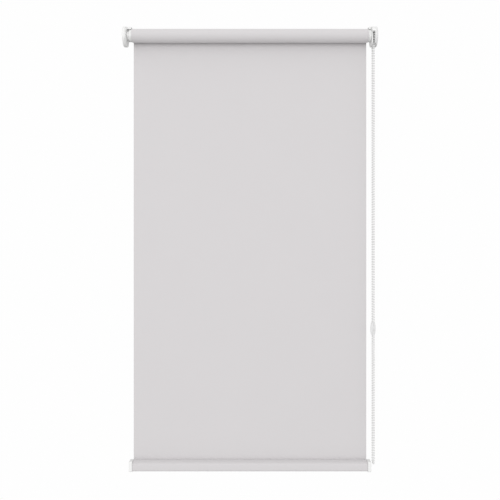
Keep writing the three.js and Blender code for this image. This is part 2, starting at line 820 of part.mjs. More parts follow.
function connectorHalves() {
  const half = connectorLength / 2;
  const middleX = chainPlaneX + connectorOffset;
  const neck = connectorHalfDepth * connectorNeckShare;
  const shoulder = half * connectorShoulderShare;
  const outline = [new THREE.Vector2(0, -half), new THREE.Vector2(neck, -half)];
  for (let i = 1; i < arcSteps; i++) {
    const share = (2 * i) / arcSteps - 1;
    outline.push(new THREE.Vector2(
      neck + (connectorHalfDepth - neck) * Math.sqrt(1 - share * share), share * shoulder));
  }
  outline.push(new THREE.Vector2(neck, half), new THREE.Vector2(0, half));
  const barrel = new THREE.LatheGeometry(outline, smallSides);
  barrel.applyMatrix4(profileToZ);
  barrel.scale(connectorHalfWidth / connectorHalfDepth, 1, 1);
  barrel.translate(middleX, chainBackY, -connectorDrop);
  const bore = new THREE.CylinderGeometry(
    chainBead / 2 + runGap, chainBead / 2 + runGap, connectorLength + 2 * overrun, smallSides);
  bore.applyMatrix4(profileToZ);
  bore.translate(chainPlaneX, chainBackY, -connectorDrop);
  const shell = solid(barrel).subtract(solid(bore));
  const reach = connectorHalfWidth + connectorOffset + overrun;
  const cut = (y0, y1) => block(chainPlaneX - reach, chainPlaneX + reach, y0, y1,
    -connectorDrop - half - overrun, half + overrun - connectorDrop);
  const parting = seatGap / 2;
  let front = shell.intersect(cut(chainBackY - 2 * connectorHalfDepth, chainBackY - parting));
  let back = shell.intersect(cut(chainBackY + parting, chainBackY + 2 * connectorHalfDepth));
  for (const height of [-pegSpread, pegSpread]) {
    const peg = (radius, length, y) => {
      const shape = new THREE.CylinderGeometry(radius, radius, length, smallSides / 2);
      shape.translate(chainPlaneX + pegX, y, height - connectorDrop);
      return solid(shape);
    };
    front = front.add(peg(pegRadius, 2 * pegReach, chainBackY));
    back = back.subtract(peg(pegRadius + seatGap, 2 * (pegReach + seatGap), chainBackY));
  }
  return [
    piece('connector_front_half', front, whitePlastic),
    piece('connector_back_half', back, whitePlastic),
  ];
}

// The whole blind, with one group for each part that moves by itself

const fixed = new THREE.Group();
fixed.add(idleBracket(), idleCover(), driveBracket(), driveHousing(), driveCover());
fixed.add(driveSpindle(), spindleClip(), hangingCloth(), ...chainPieces());

const roller = new THREE.Group();
roller.add(rollerTube(), fixingTape(), clothRoll(), idlePlug(), idleSpringCap(), idlePinSpring());
roller.add(drivePlug(), chainWheel(), wrapSpring(1), wrapSpring(2));

const pin = new THREE.Group();
pin.add(idlePin());

const bottomBar = new THREE.Group();
bottomBar.add(bottomRail(), hemPocket());
bottomBar.add(railCap('rail_cap_left', left), railCap('rail_cap_right', right));

const connector = new THREE.Group();
connector.add(...connectorHalves());

const group = new THREE.Group();
group.add(fixed, roller, pin, bottomBar, connector);

export default group;
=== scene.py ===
# %% [markdown]
# A roller blind with a bead chain, hung in front of a white background.
# The rigid model of the blind is loaded first and stays where it is. Its names and boxes give
# the places of the dressed pieces, and the sizes that are typed in below are the rigid
# model's own, so nothing here is fitted by eye.
# All lengths in this script are metres, because Blender's own unit is the metre.

# %% Load the rigid model
import bpy
import json
import math
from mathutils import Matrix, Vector


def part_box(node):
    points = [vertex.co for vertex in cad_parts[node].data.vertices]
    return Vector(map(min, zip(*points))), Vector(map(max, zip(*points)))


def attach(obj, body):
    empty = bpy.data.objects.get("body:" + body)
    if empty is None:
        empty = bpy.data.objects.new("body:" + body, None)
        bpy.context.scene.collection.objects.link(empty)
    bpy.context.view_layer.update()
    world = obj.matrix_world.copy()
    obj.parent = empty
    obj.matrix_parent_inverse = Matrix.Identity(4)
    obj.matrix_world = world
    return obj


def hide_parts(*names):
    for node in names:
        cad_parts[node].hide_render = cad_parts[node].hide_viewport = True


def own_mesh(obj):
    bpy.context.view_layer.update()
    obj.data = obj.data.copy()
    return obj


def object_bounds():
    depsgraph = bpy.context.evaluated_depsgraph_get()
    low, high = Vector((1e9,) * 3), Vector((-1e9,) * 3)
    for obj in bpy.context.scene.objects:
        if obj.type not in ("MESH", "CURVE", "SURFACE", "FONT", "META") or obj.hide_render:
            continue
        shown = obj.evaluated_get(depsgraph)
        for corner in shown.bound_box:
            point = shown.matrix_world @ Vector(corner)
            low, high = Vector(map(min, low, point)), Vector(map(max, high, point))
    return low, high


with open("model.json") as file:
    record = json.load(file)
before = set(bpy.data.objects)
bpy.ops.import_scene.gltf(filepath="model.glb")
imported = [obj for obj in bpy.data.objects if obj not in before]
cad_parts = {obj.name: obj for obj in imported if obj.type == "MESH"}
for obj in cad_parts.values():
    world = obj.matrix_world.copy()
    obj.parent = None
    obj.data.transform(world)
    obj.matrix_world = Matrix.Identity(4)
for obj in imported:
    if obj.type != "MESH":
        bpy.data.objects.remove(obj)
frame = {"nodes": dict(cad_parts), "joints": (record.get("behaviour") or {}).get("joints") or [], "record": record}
cad_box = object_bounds()
scene = bpy.context.scene
MM = 0.001
TINY = 0.001 * MM

# %% [markdown]
# A few places recur all through the script. The roller's axis is the line that everything
# at the top turns about, so it is read from the joint. The sheet, the roll and the rail are
# read from the boxes of their rigid pieces.

# %% Places that the pieces share
joints = {joint["name"]: joint for joint in frame["joints"]}
AXIS_Y = joints["roller_turn"]["pos_m"][1]
cloth_low, cloth_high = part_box("hanging_cloth")
roll_low, roll_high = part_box("cloth_roll")
pocket_low, pocket_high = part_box("hem_pocket")
CLOTH_END = cloth_high.x
CLOTH_THICK = cloth_high.y - cloth_low.y
SHEET_LENGTH = cloth_high.z - cloth_low.z
ROLL_RADIUS = (roll_high.y - roll_low.y) / 2
print(f"cloth {2 * CLOTH_END:.3f} m wide, {SHEET_LENGTH:.3f} m long")

# %% [markdown]
# The photograph was taken straight on, from about the middle of the drop, so the camera is
# a pinhole that looks straight at the wall, 1.44 m in front of the roller's axis. Its lens
# follows from the photograph's own scale: the focal length is to the sensor's width what the
# focal length in pixels is to the picture's width.

# %% Camera
PHOTO_SIDE_PX = 500
FOCAL_PX = 600
SENSOR_WIDTH = 36
CAMERA_TO_AXIS = 1.442
CAMERA_BELOW_AXIS = 0.5145

bpy.ops.object.select_all(action="DESELECT")
bpy.ops.object.camera_add(
    location=(0, AXIS_Y - CAMERA_TO_AXIS, -CAMERA_BELOW_AXIS), rotation=(math.pi / 2, 0, 0))
camera = bpy.context.object
camera.name = "photo_camera"
camera.data.sensor_width = SENSOR_WIDTH
camera.data.lens = FOCAL_PX / PHOTO_SIDE_PX * SENSOR_WIDTH
scene.camera = camera
print(f"lens {camera.data.lens:.1f} mm")

# %% [markdown]
# Blender's operators work on whatever is selected and active, and loading leaves all the
# rigid pieces selected. These small helpers put one object in charge before each step, as a
# click on it would, and finish a piece by moving its place into its mesh.

# %% Selecting
def deselect():
    bpy.ops.object.select_all(action="DESELECT")


def pick(obj):
    deselect()
    obj.select_set(True)
    bpy.context.view_layer.objects.active = obj


def enter_edit(obj, action="SELECT", kind=None):
    """Open edit mode on one object, with all of its mesh selected or none of it."""
    pick(obj)
    bpy.ops.object.mode_set(mode="EDIT")
    if kind:
        bpy.ops.mesh.select_mode(type=kind)
    bpy.ops.mesh.select_all(action=action)


def leave_edit():
    bpy.ops.object.mode_set(mode="OBJECT")


def select_faces(obj, wanted):
    """Open edit mode with the faces selected whose centre passes the test."""
    enter_edit(obj, "DESELECT", "FACE")
    leave_edit()
    for face in obj.data.polygons:
        face.select = wanted(face.center)
    bpy.ops.object.mode_set(mode="EDIT")


def select_edges(obj, wanted):
    """The same for edges, tested by the places of their two ends."""
    enter_edit(obj, "DESELECT", "EDGE")
    leave_edit()
    points = obj.data.vertices
    for edge in obj.data.edges:
        edge.select = wanted(*(points[i].co for i in edge.vertices))
    bpy.ops.object.mode_set(mode="EDIT")


# %% Finishing a mesh
def close_shell(weld=False):
    """Merge doubled points where asked, point all faces outwards, and leave edit mode."""
    bpy.ops.mesh.select_all(action="SELECT")
    if weld:
        bpy.ops.mesh.remove_doubles(threshold=TINY)
    bpy.ops.mesh.normals_make_consistent(inside=False)
    leave_edit()


def settle(obj, name):
    pick(obj)
    bpy.ops.object.transform_apply(location=True, rotation=True, scale=True)
    obj.name = name
    obj.data.name = name
    return obj


def apply_modifier(obj, kind, **settings):
    pick(obj)
    modifier = obj.modifiers.new(kind.lower(), kind)
    for key, value in settings.items():
        setattr(modifier, key, value)
    bpy.ops.object.modifier_apply(modifier=modifier.name)
    return obj


def smooth(obj, degrees=35):
    pick(obj)
    bpy.ops.object.shade_smooth_by_angle(angle=math.radians(degrees))
    return obj


def copy_of(obj):
    twin = obj.copy()
    twin.data = obj.data.copy()
    scene.collection.objects.link(twin)
    return twin


def join_into(main, others):
    pick(main)
    for other in others:
        other.select_set(True)
    bpy.ops.object.join()


# %% [markdown]
# A material here is a small tree of nodes and needs no picture, so it has no seams and can be
# looked at from any distance. The helpers add a node, join two, and do what every finish
# needs: read noise, bring it into a range, colour with it, and raise the surface with it.

# %% Material helpers
MIX_DARK = 6
MIX_LIGHT = 7
MIX_COLOUR = 2


def new_material(name, colour, roughness, metallic=0.0):
    made = bpy.data.materials.new(name)
    made.use_nodes = True
    shader = made.node_tree.nodes["Principled BSDF"]
    shader.inputs["Base Color"].default_value = (*colour, 1)
    shader.inputs["Roughness"].default_value = roughness
    shader.inputs["Metallic"].default_value = metallic
    return made, shader


def add_node(made, kind, settings=None, **values):
    node = made.node_tree.nodes.new(kind)
    for key, value in (settings or {}).items():
        setattr(node, key, value)
    for key, value in values.items():
        node.inputs[key.replace("_", " ")].default_value = value
    return node


def join(made, source, socket, target, target_socket):
    made.node_tree.links.new(source.outputs[socket], target.inputs[target_socket])


def calculate(made, operation, *terms):
    """A Math node. Each term is a number, or a node with the name of its output."""
    node = add_node(made, "ShaderNodeMath", {"operation": operation})
    for index, term in enumerate(terms):
        if isinstance(term, tuple):
            join(made, *term, node, index)
        else:
            node.inputs[index].default_value = term
    return node


def noise_on(made, place, socket, scale, detail, stretch=(1, 1, 1)):
    """Noise read on the coordinates of a node, stretched along an axis where needed."""
    mapping = add_node(made, "ShaderNodeMapping", Scale=stretch)
    join(made, place, socket, mapping, "Vector")
    noise = add_node(made, "ShaderNodeTexNoise", Scale=scale, Detail=detail)
    join(made, mapping, "Vector", noise, "Vector")
    return noise


def spread(made, source, low, high):
    """Bring a noise texture's values into the range from low to high."""
    ranged = add_node(made, "ShaderNodeMapRange", To_Min=low, To_Max=high)
    join(made, source, "Fac", ranged, "Value")
    return ranged


def tint(made, shader, source, socket, dark, light):
    """Colour that moves between two tones with a texture."""
    mixed = add_node(made, "ShaderNodeMix", {"data_type": "RGBA"})
    mixed.inputs[MIX_DARK].default_value = (*dark, 1)
    mixed.inputs[MIX_LIGHT].default_value = (*light, 1)
    join(made, source, socket, mixed, "Factor")
    join(made, mixed, MIX_COLOUR, shader, "Base Color")


def vary_roughness(made, shader, source, low, high):
    join(made, spread(made, source, low, high), "Result", shader, "Roughness")


def raise_surface(made, shader, source, socket, depth, strength=1.0):
    bump = add_node(made, "ShaderNodeBump", Strength=strength, Distance=depth)
    join(made, source, socket, bump, "Height")
    join(made, bump, "Normal", shader, "Normal")


# %% [markdown]
# Moulded plastic is never one flat colour. It has a faint orange-peel surface from the
# mould, and its gloss varies a little where it has been handled. Two noise textures on
# Object coordinates give both: one very fine for the bump, one broad for the roughness.
# They fill space, so they need no unwrapping and run on over every edge without a seam.

# %% The plastics
HANDLED_SCALE = 60
PEEL_SCALE = 1800
PEEL = 0.012 * MM
BEAD_PEEL = 0.006 * MM
SMOOTHER = 0.06
ROUGHER = 0.08


def moulded_plastic(name, dark, light, roughness, peel=PEEL):
    made, shader = new_material(name, light, roughness)
    place = add_node(made, "ShaderNodeTexCoord")
    broad = noise_on(made, place, "Object", HANDLED_SCALE, detail=4)
    fine = noise_on(made, place, "Object", PEEL_SCALE, detail=2)
    tint(made, shader, broad, "Fac", dark, light)
    vary_roughness(made, shader, broad, roughness - SMOOTHER, roughness + ROUGHER)
    raise_surface(made, shader, fine, "Fac", peel)
    return made


white_plastic = moulded_plastic("white_plastic", (0.74, 0.74, 0.735), (0.79, 0.79, 0.785), 0.34)
inner_plastic = moulded_plastic("inner_plastic", (0.66, 0.66, 0.64), (0.72, 0.72, 0.70), 0.48)
connector_plastic = moulded_plastic(
    "connector_plastic", (0.68, 0.68, 0.68), (0.75, 0.75, 0.75), 0.22)
chain_plastic = moulded_plastic(
    "chain_plastic", (0.66, 0.66, 0.655), (0.73, 0.73, 0.725), 0.28, BEAD_PEEL)
print("nodes in the white plastic:", len(white_plastic.node_tree.nodes))

# %% [markdown]
# Blackout cloth is a plain polyester weave with a coating that fills it, so the weave shows
# only as a faint grain. The two sets of threads are two sine waves multiplied together,
# which rise and sink in turn as threads over and under each other do. They read the piece's
# own UV map, laid out in metres, so the weave follows the cloth round the roll and the rail.
# Threads are never quite even, so a stretched noise adds thicker places to them, and a broad
# one clouds the tone. The coating keeps the gloss low, and the fibres add a little sheen.

# %% Blackout cloth
THREAD_PITCH = 0.5 * MM
THREAD_TONE = 0.12
THREAD_DEPTH = 0.03 * MM
THREAD_STRENGTH = 0.6
UNEVEN_YARN = (60, 1200, 1)
CLOUD_SCALE = 7
CLOUD_RANGE = (0.35, 0.65)
CLOTH_DARK = (0.564, 0.547, 0.554)
CLOTH_LIGHT = (0.603, 0.586, 0.593)
CLOTH_ROUGHNESS = 0.82


def threads_along(made, coordinate, axis):
    phase = calculate(made, "MULTIPLY", (coordinate, axis), 2 * math.pi / THREAD_PITCH)
    return calculate(made, "SINE", (phase, "Value"))


def woven_cloth():
    made, shader = new_material("blackout_cloth", CLOTH_LIGHT, CLOTH_ROUGHNESS)
    uv = add_node(made, "ShaderNodeUVMap", {"uv_map": "UVMap"})
    split = add_node(made, "ShaderNodeSeparateXYZ")
    join(made, uv, "UV", split, "Vector")
    warp = threads_along(made, split, "X")
    weft = threads_along(made, split, "Y")
    weave = calculate(made, "MULTIPLY", (warp, "Value"), (weft, "Value"))
    clouds = noise_on(made, uv, "UV", CLOUD_SCALE, detail=4)
    yarn = noise_on(made, uv, "UV", 1, detail=2, stretch=UNEVEN_YARN)
    cloudy = spread(made, clouds, *CLOUD_RANGE)
    tone = calculate(made, "MULTIPLY_ADD", (weave, "Value"), THREAD_TONE, (cloudy, "Result"))
    tint(made, shader, tone, "Value", CLOTH_DARK, CLOTH_LIGHT)
    height = calculate(made, "ADD", (weave, "Value"), (yarn, "Fac"))
    raise_surface(made, shader, height, "Value", THREAD_DEPTH, THREAD_STRENGTH)
    shader.inputs["Sheen Weight"].default_value = 0.3
    shader.inputs["Sheen Roughness"].default_value = 0.5
    shader.inputs["Specular IOR Level"].default_value = 0.3
    return made


cloth_material = woven_cloth()
print("cloth with threads every", THREAD_PITCH / MM, "mm")

# %% [markdown]
# The metal parts sit mostly inside. Extruded aluminium has fine lines along its length, so
# its noise is stretched along X. Drawn spring wire is darker and smoother, and the adhesive
# strip is paper-like, with a slight speckle, which the plastic's recipe gives as well.

# %% Metals and the adhesive strip
LINE_DEPTH = 0.01 * MM
LINE_SMOOTHER = 0.08
LINE_ROUGHER = 0.1


def drawn_metal(name, dark, light, roughness, stretch, scale):
    made, shader = new_material(name, light, roughness, metallic=1.0)
    place = add_node(made, "ShaderNodeTexCoord")
    lines = noise_on(made, place, "Object", scale, detail=3, stretch=stretch)
    tint(made, shader, lines, "Fac", dark, light)
    vary_roughness(made, shader, lines, roughness - LINE_SMOOTHER, roughness + LINE_ROUGHER)
    raise_surface(made, shader, lines, "Fac", LINE_DEPTH)
    return made


tube_metal = drawn_metal(
    "tube_aluminium", (0.62, 0.63, 0.64), (0.78, 0.79, 0.80), 0.36, (0.1, 12, 12), 90)
spring_metal = drawn_metal(
    "spring_steel", (0.36, 0.37, 0.38), (0.55, 0.56, 0.58), 0.30, (1, 1, 1), 600)
pin_metal = drawn_metal(
    "pin_steel", (0.55, 0.56, 0.57), (0.72, 0.73, 0.74), 0.26, (8, 1, 1), 300)
tape_material = moulded_plastic("adhesive_tape", (0.66, 0.62, 0.50), (0.80, 0.76, 0.64), 0.62)
print("nodes in a metal:", len(tube_metal.node_tree.nodes))

# %% [markdown]
# Every finish now gets the name by which the rigid model knows it. The rigid pieces that
# need no new shape keep their own meshes and only take their finish. A new piece is handed
# over with its finish, the body that it moves with, and the rigid pieces that it stands for.

# %% Finishes by name, and handing over
FINISHES = {
    "white_plastic": white_plastic,
    "inner_plastic": inner_plastic,
    "connector_plastic": connector_plastic,
    "blackout_cloth": cloth_material,
    "bead_chain": chain_plastic,
    "tube_aluminium": tube_metal,
    "adhesive_tape": tape_material,
    "spring_steel": spring_metal,
    "pin_steel": pin_metal,
}


def hand_over(obj, name, body, slot, *nodes):
    """Name a finished piece, give it its finish, and let it stand for its rigid nodes."""
    settle(obj, name)
    obj.data.materials.clear()
    obj.data.materials.append(FINISHES[slot])
    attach(obj, body)
    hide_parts(*nodes)
    print(name, "has", len(obj.data.polygons), "faces")
    return obj


for row in frame["record"]["subparts"]:
    rigid = frame["nodes"][row["node"]]
    rigid.data.materials.clear()
    rigid.data.materials.append(FINISHES[row["material_slot"]])

# %% [markdown]
# The bead chain is the smallest thing that the photograph shows clearly, so it comes first.
# Its route is the one that the rigid model's chain takes: over the wheel, straight down in
# front, round the bottom and up at the back. It is worked out here as a function that gives
# the place at any distance along the loop.

# %% The chain's route
BEAD = 4.5 * MM
PITCH = 6 * MM
POCKETS = 10
PITCH_RADIUS = POCKETS * PITCH / (2 * math.pi)
front_low, front_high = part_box("chain_front_strand")
bend_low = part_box("chain_bottom_bend")[0]
CHAIN_X = (front_low.x + front_high.x) / 2
BEND_Z = bend_low.z + BEAD / 2 + PITCH_RADIUS
STRAND = -BEND_Z
HALF_TURN = math.pi * PITCH_RADIUS
QUARTER = HALF_TURN / 2
LOOP = 2 * (STRAND + HALF_TURN)
HOUSING_EXIT = -front_high.z
free_start = QUARTER + HOUSING_EXIT
free_end = LOOP - QUARTER - HOUSING_EXIT


def on_loop(distance):
    """Place and direction on the closed loop, from the top of the wheel, forwards and down."""
    along = distance % LOOP
    if along < QUARTER or along >= LOOP - QUARTER:
        turn = (along if along < QUARTER else along - LOOP) / PITCH_RADIUS
        return -math.sin(turn) * PITCH_RADIUS, math.cos(turn) * PITCH_RADIUS, turn
    if along < QUARTER + STRAND:
        return -PITCH_RADIUS, QUARTER - along, math.pi / 2
    if along < QUARTER + STRAND + HALF_TURN:
        turn = (along - QUARTER - STRAND) / PITCH_RADIUS
        height = BEND_Z - math.sin(turn) * PITCH_RADIUS
        return -math.cos(turn) * PITCH_RADIUS, height, math.pi / 2 + turn
    return PITCH_RADIUS, BEND_Z + along - QUARTER - STRAND - HALF_TURN, 1.5 * math.pi


def loop_point(distance):
    away, height, _ = on_loop(distance)
    return Vector((CHAIN_X, AXIS_Y + away, height))


def route_points(start, end):
    """Points along the loop, one for each bead."""
    steps = round((end - start) / PITCH)
    return [loop_point(start + (end - start) * step / steps) for step in range(steps + 1)]


print(f"loop {LOOP:.3f} m, {LOOP / PITCH:.1f} beads")

# %% [markdown]
# One bead is a ball with a waist where the cord enters it, so a real chain shows a small
# collar at each end. It is modelled once from a sphere with few faces, because there are
# about 350, and then copied along the route, each copy turned along the cord. The cord
# between them is a curve with a round section, turned into a mesh.

# %% One bead, and the cord
BEAD_SEGMENTS = 10
BEAD_RINGS = 6
COLLAR_FROM = 0.8 * BEAD / 2
COLLAR_STRETCH = 1.06
CORD_RADIUS = 0.55 * MM
CORD_SIDES = 8


def one_bead():
    deselect()
    bpy.ops.mesh.primitive_uv_sphere_add(
        segments=BEAD_SEGMENTS, ring_count=BEAD_RINGS, radius=BEAD / 2)
    bead = bpy.context.object
    select_faces(bead, lambda middle: abs(middle.z) > COLLAR_FROM)
    bpy.ops.transform.resize(value=(1, 1, COLLAR_STRETCH))
    leave_edit()
    return settle(bead, "bead")


def cord_between(start, end):
    line = bpy.data.curves.new("cord", "CURVE")
    line.dimensions = "3D"
    line.bevel_depth = CORD_RADIUS
    line.bevel_resolution = CORD_SIDES // 4
    line.use_fill_caps = True
    points = route_points(start, end)
    spline = line.splines.new("POLY")
    spline.points.add(len(points) - 1)
    for point, place in zip(spline.points, points):
        point.co = (*place, 1)
    cord = bpy.data.objects.new("cord", line)
    scene.collection.objects.link(cord)
    pick(cord)
    bpy.ops.object.convert(target="MESH")
    return bpy.context.object


# %% Copies along the loop
def copies_along(start, end, name):
    """Beads whose middles lie between two distances along the loop, joined with their cord."""
    bead = one_bead()
    count = round(LOOP / PITCH)
    spacing = LOOP / count
    made = []
    for number in range(count):
        distance = number * spacing
        if not start <= distance < end:
            continue
        copy = copy_of(bead)
        away, height, tilt = on_loop(distance)
        copy.location = (CHAIN_X, AXIS_Y + away, height)
        copy.rotation_euler = (tilt - math.pi / 2, 0, 0)
        made.append(copy)
    bpy.data.objects.remove(bead)
    cord = cord_between(start, end)
    join_into(cord, made)
    print(name, "has", len(made), "beads")
    return smooth(settle(cord, name), degrees=60)


chain = copies_along(free_start, free_end, "bead_chain")
wheel_beads = copies_along(0, free_start, "wheel_beads_front")
join_into(wheel_beads, [copies_along(free_end, LOOP, "wheel_beads_back")])

hand_over(
    chain, "bead_chain", "mount", "bead_chain",
    "chain_front_strand", "chain_bottom_bend", "chain_back_strand")
hand_over(wheel_beads, "chain_on_wheel", "mount", "bead_chain", "chain_over_wheel")

# %% [markdown]
# The sheet starts as a flat grid. A hung blind is never a perfect plane: it cups a little
# towards its edges and has very long, shallow waves, so each point moves by a fraction of a
# millimetre. The waves fade to nothing at the roll and at the hem, where the cloth is held.
# A cloth simulation could hang it too, but the bar pulls a blind almost flat, so a few sines
# do as well and are quick to change.

# %% The hanging sheet
SHEET_COLUMNS = 72
SHEET_ROWS = 128
SHEET_Y = (cloth_low.y + cloth_high.y) / 2
WAVE_DEPTH = 0.35 * MM
WAVE_ACROSS = 5.3
WAVE_ACROSS_LEAN = 2.1
WAVE_DOWN = 4.2
WAVE_DOWN_LEAN = 1.3
EDGE_CUP = 1.2


def lay_uv(obj, place):
    """Write a UV map in metres from each vertex's own place."""
    layer = obj.data.uv_layers.get("UVMap") or obj.data.uv_layers.new(name="UVMap")
    for loop in obj.data.loops:
        layer.data[loop.index].uv = place(loop.vertex_index)


def wave_at(across, down):
    """How far the sheet stands forward, from -1 to 1 across it and from 0 to 1 down it."""
    held = math.sin(math.pi * down) ** 0.5 if 0 < down < 1 else 0
    wave = math.sin(WAVE_ACROSS * across + WAVE_ACROSS_LEAN * down)
    wave *= math.cos(WAVE_DOWN * down + WAVE_DOWN_LEAN * across)
    return WAVE_DEPTH * held * (wave + EDGE_CUP * across ** 4)


def hanging_sheet():
    deselect()
    bpy.ops.mesh.primitive_grid_add(
        x_subdivisions=SHEET_COLUMNS, y_subdivisions=SHEET_ROWS, size=1)
    sheet = bpy.context.object
    sheet.scale = (2 * CLOTH_END, SHEET_LENGTH, 1)
    sheet.rotation_euler = (math.pi / 2, 0, 0)
    sheet.location = (0, SHEET_Y, (cloth_low.z + cloth_high.z) / 2)
    settle(sheet, "blackout_sheet")
    for vertex in sheet.data.vertices:
        down = (cloth_high.z - vertex.co.z) / SHEET_LENGTH
        vertex.co.y -= wave_at(vertex.co.x / CLOTH_END, down)
    lay_uv(sheet, lambda i: (sheet.data.vertices[i].co.x, sheet.data.vertices[i].co.z))
    apply_modifier(sheet, "SOLIDIFY", thickness=CLOTH_THICK, offset=0)
    return smooth(sheet)


sheet = hand_over(hanging_sheet(), "blackout_sheet", "mount", "blackout_cloth", "hanging_cloth")
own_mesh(sheet)

# %% [markdown]
# The cloth on the roll is the same sheet wound round the tube. It is modelled as that: a
# flat grid whose points are moved onto a spiral, each turn one thickness outside the last,
# and then thickened by a little less, so that the turns don't touch. From the end, the turns
# show as they do on a real roll.

# %% The cloth on the roll
TURNS = 1.85
STEPS_A_TURN = 96
ROLL_COLUMNS = 24
WOUND_THICK = 0.96 * CLOTH_THICK


def wound_cloth():
    rows = round(TURNS * STEPS_A_TURN)
    deselect()
    bpy.ops.mesh.primitive_grid_add(x_subdivisions=ROLL_COLUMNS, y_subdivisions=rows, size=1)
    roll = settle(bpy.context.object, "wound_cloth")
    middle = ROLL_RADIUS - CLOTH_THICK / 2
    length = []
    for vertex in roll.data.vertices:
        share = vertex.co.y + 0.5
        angle = 2 * math.pi * TURNS * share
        radius = middle - CLOTH_THICK * TURNS * share
        length.append(radius * angle)
        vertex.co = (
            vertex.co.x * 2 * CLOTH_END,
            AXIS_Y + radius * math.cos(angle), radius * math.sin(angle))
    lay_uv(roll, lambda i: (roll.data.vertices[i].co.x, length[i]))
    enter_edit(roll)
    bpy.ops.mesh.flip_normals()
    leave_edit()
    apply_modifier(roll, "SOLIDIFY", thickness=WOUND_THICK, offset=0)
    return smooth(roll)


hand_over(wound_cloth(), "wound_cloth", "roller", "blackout_cloth", "cloth_roll")
print(f"roll {2 * ROLL_RADIUS / MM:.1f} mm across")

# %% [markdown]
# The hem pocket is a tube of cloth with a flat back and a round front, because it is drawn
# tight over the bottom rail. The front has a wide round shoulder at the top and a tighter one
# at the foot, so the bar shades from light to dark. The outline is a chain of arcs. A circle
# with as many points is added, its points are moved onto the outline, and the ring is
# extruded along the blind.

# %% The outline of the bottom bar
POCKET_BACK = 6 * MM
POCKET_CORNER = 2 * MM
POCKET_SHOULDER = 7 * MM
POCKET_FOOT = 6 * MM
ARC_STEPS = 12
CORNER_STEPS = 5


def arc(middle_y, middle_z, reach_y, reach_z, start, end, steps):
    turns = (start + (end - start) * i / steps for i in range(steps + 1))
    return [(middle_y + reach_y * math.cos(t), middle_z + reach_z * math.sin(t)) for t in turns]


def pocket_outline(inset):
    """Points of the bar's section, going up its back and down its front."""
    corner = max(POCKET_CORNER - inset, POCKET_CORNER / 4)
    back = pocket_high.y - inset - corner
    front = pocket_low.y + inset
    top = pocket_high.z - inset
    foot = pocket_low.z + inset
    bulge_y = pocket_high.y - POCKET_BACK
    shoulder = POCKET_SHOULDER - inset
    toe = POCKET_FOOT - inset
    return [
        *arc(back, top - corner, corner, corner, 0, math.pi / 2, CORNER_STEPS),
        *arc(bulge_y, top - shoulder, bulge_y - front, shoulder, math.pi / 2, math.pi, ARC_STEPS),
        *arc(front + toe, foot + toe, toe, toe, math.pi, 1.5 * math.pi, ARC_STEPS),
        *arc(back, foot + corner, corner, corner, -math.pi / 2, 0, CORNER_STEPS),
    ]


def ring_through(places, filled=False):
    """A closed ring of points, made from a circle that has as many."""
    deselect()
    bpy.ops.mesh.primitive_circle_add(
        vertices=len(places), radius=1, fill_type="NGON" if filled else "NOTHING")
    ring = bpy.context.object
    for vertex, place in zip(ring.data.vertices, places):
        vertex.co = place
    return ring


print("outline points:", len(pocket_outline(0)))

# %% Hem pocket
POCKET_COLUMNS = 40


def hem_pocket():
    points = pocket_outline(CLOTH_THICK / 2)
    pocket = ring_through([(-CLOTH_END, y, z) for y, z in points])
    enter_edit(pocket, kind="EDGE")
    for _ in range(POCKET_COLUMNS):
        bpy.ops.mesh.extrude_region_move(
            TRANSFORM_OT_translate={"value": (2 * CLOTH_END / POCKET_COLUMNS, 0, 0)})
    close_shell()
    around = [0.0]
    for (y0, z0), (y1, z1) in zip(points, points[1:]):
        around.append(around[-1] + math.hypot(y1 - y0, z1 - z0))
    runs = []
    for vertex in pocket.data.vertices:
        away = [math.hypot(vertex.co.y - y, vertex.co.z - z) for y, z in points]
        runs.append(around[away.index(min(away))])
    lay_uv(pocket, lambda i: (pocket.data.vertices[i].co.x, runs[i]))
    apply_modifier(pocket, "SOLIDIFY", thickness=WOUND_THICK, offset=0)
    return smooth(pocket, degrees=60)


hand_over(hem_pocket(), "hem_sleeve", "bottom_bar", "blackout_cloth", "hem_pocket")

# %% [markdown]
# The studio is a white room, made as a dome of light round the blind. It shines most from in
# front, a little less from above and half as much from behind, and it grows dim towards the
# floor, so that undersides darken. To the camera the room is plain white all over, as in the
# photograph: the Light Path node tells the camera's own rays from those that light the blind.

# %% The white room
ROOM_LIGHT = 1.15
LIGHT_FROM_ABOVE = 0.95
SHARE_FROM_BEHIND = 0.5
LIGHT_FROM_BELOW = 0.1
DIMS_UNDER = -0.3
WHITE_SEEN = 0.992


def studio_world():
    world = bpy.data.worlds.new("white_studio")
    world.use_nodes = True
    shader = world.node_tree.nodes["Background"]
    shader.inputs["Color"].default_value = (1, 1, 1, 1)
    place = add_node(world, "ShaderNodeTexCoord")
    split = add_node(world, "ShaderNodeSeparateXYZ")
    join(world, place, "Generated", split, "Vector")
    lower = add_node(
        world, "ShaderNodeMapRange",
        From_Min=-1, From_Max=DIMS_UNDER, To_Min=LIGHT_FROM_BELOW, To_Max=ROOM_LIGHT)
    join(world, split, "Z", lower, "Value")
    upper = add_node(world, "ShaderNodeMapRange", To_Min=1, To_Max=LIGHT_FROM_ABOVE / ROOM_LIGHT)
    join(world, split, "Z", upper, "Value")
    rear = add_node(world, "ShaderNodeMapRange", To_Min=1, To_Max=SHARE_FROM_BEHIND)
    join(world, split, "Y", rear, "Value")
    dome = calculate(world, "MULTIPLY", (lower, "Result"), (upper, "Result"))
    given = calculate(world, "MULTIPLY", (dome, "Value"), (rear, "Result"))
    path = add_node(world, "ShaderNodeLightPath")
    seen = add_node(world, "ShaderNodeMix", B=WHITE_SEEN)
    join(world, path, "Is Camera Ray", seen, "Factor")
    join(world, given, "Value", seen, "A")
    join(world, seen, "Result", shader, "Strength")
    return world


scene.world = studio_world()
scene.view_settings.view_transform = "Standard"
print("nodes in the world:", len(scene.world.node_tree.nodes))

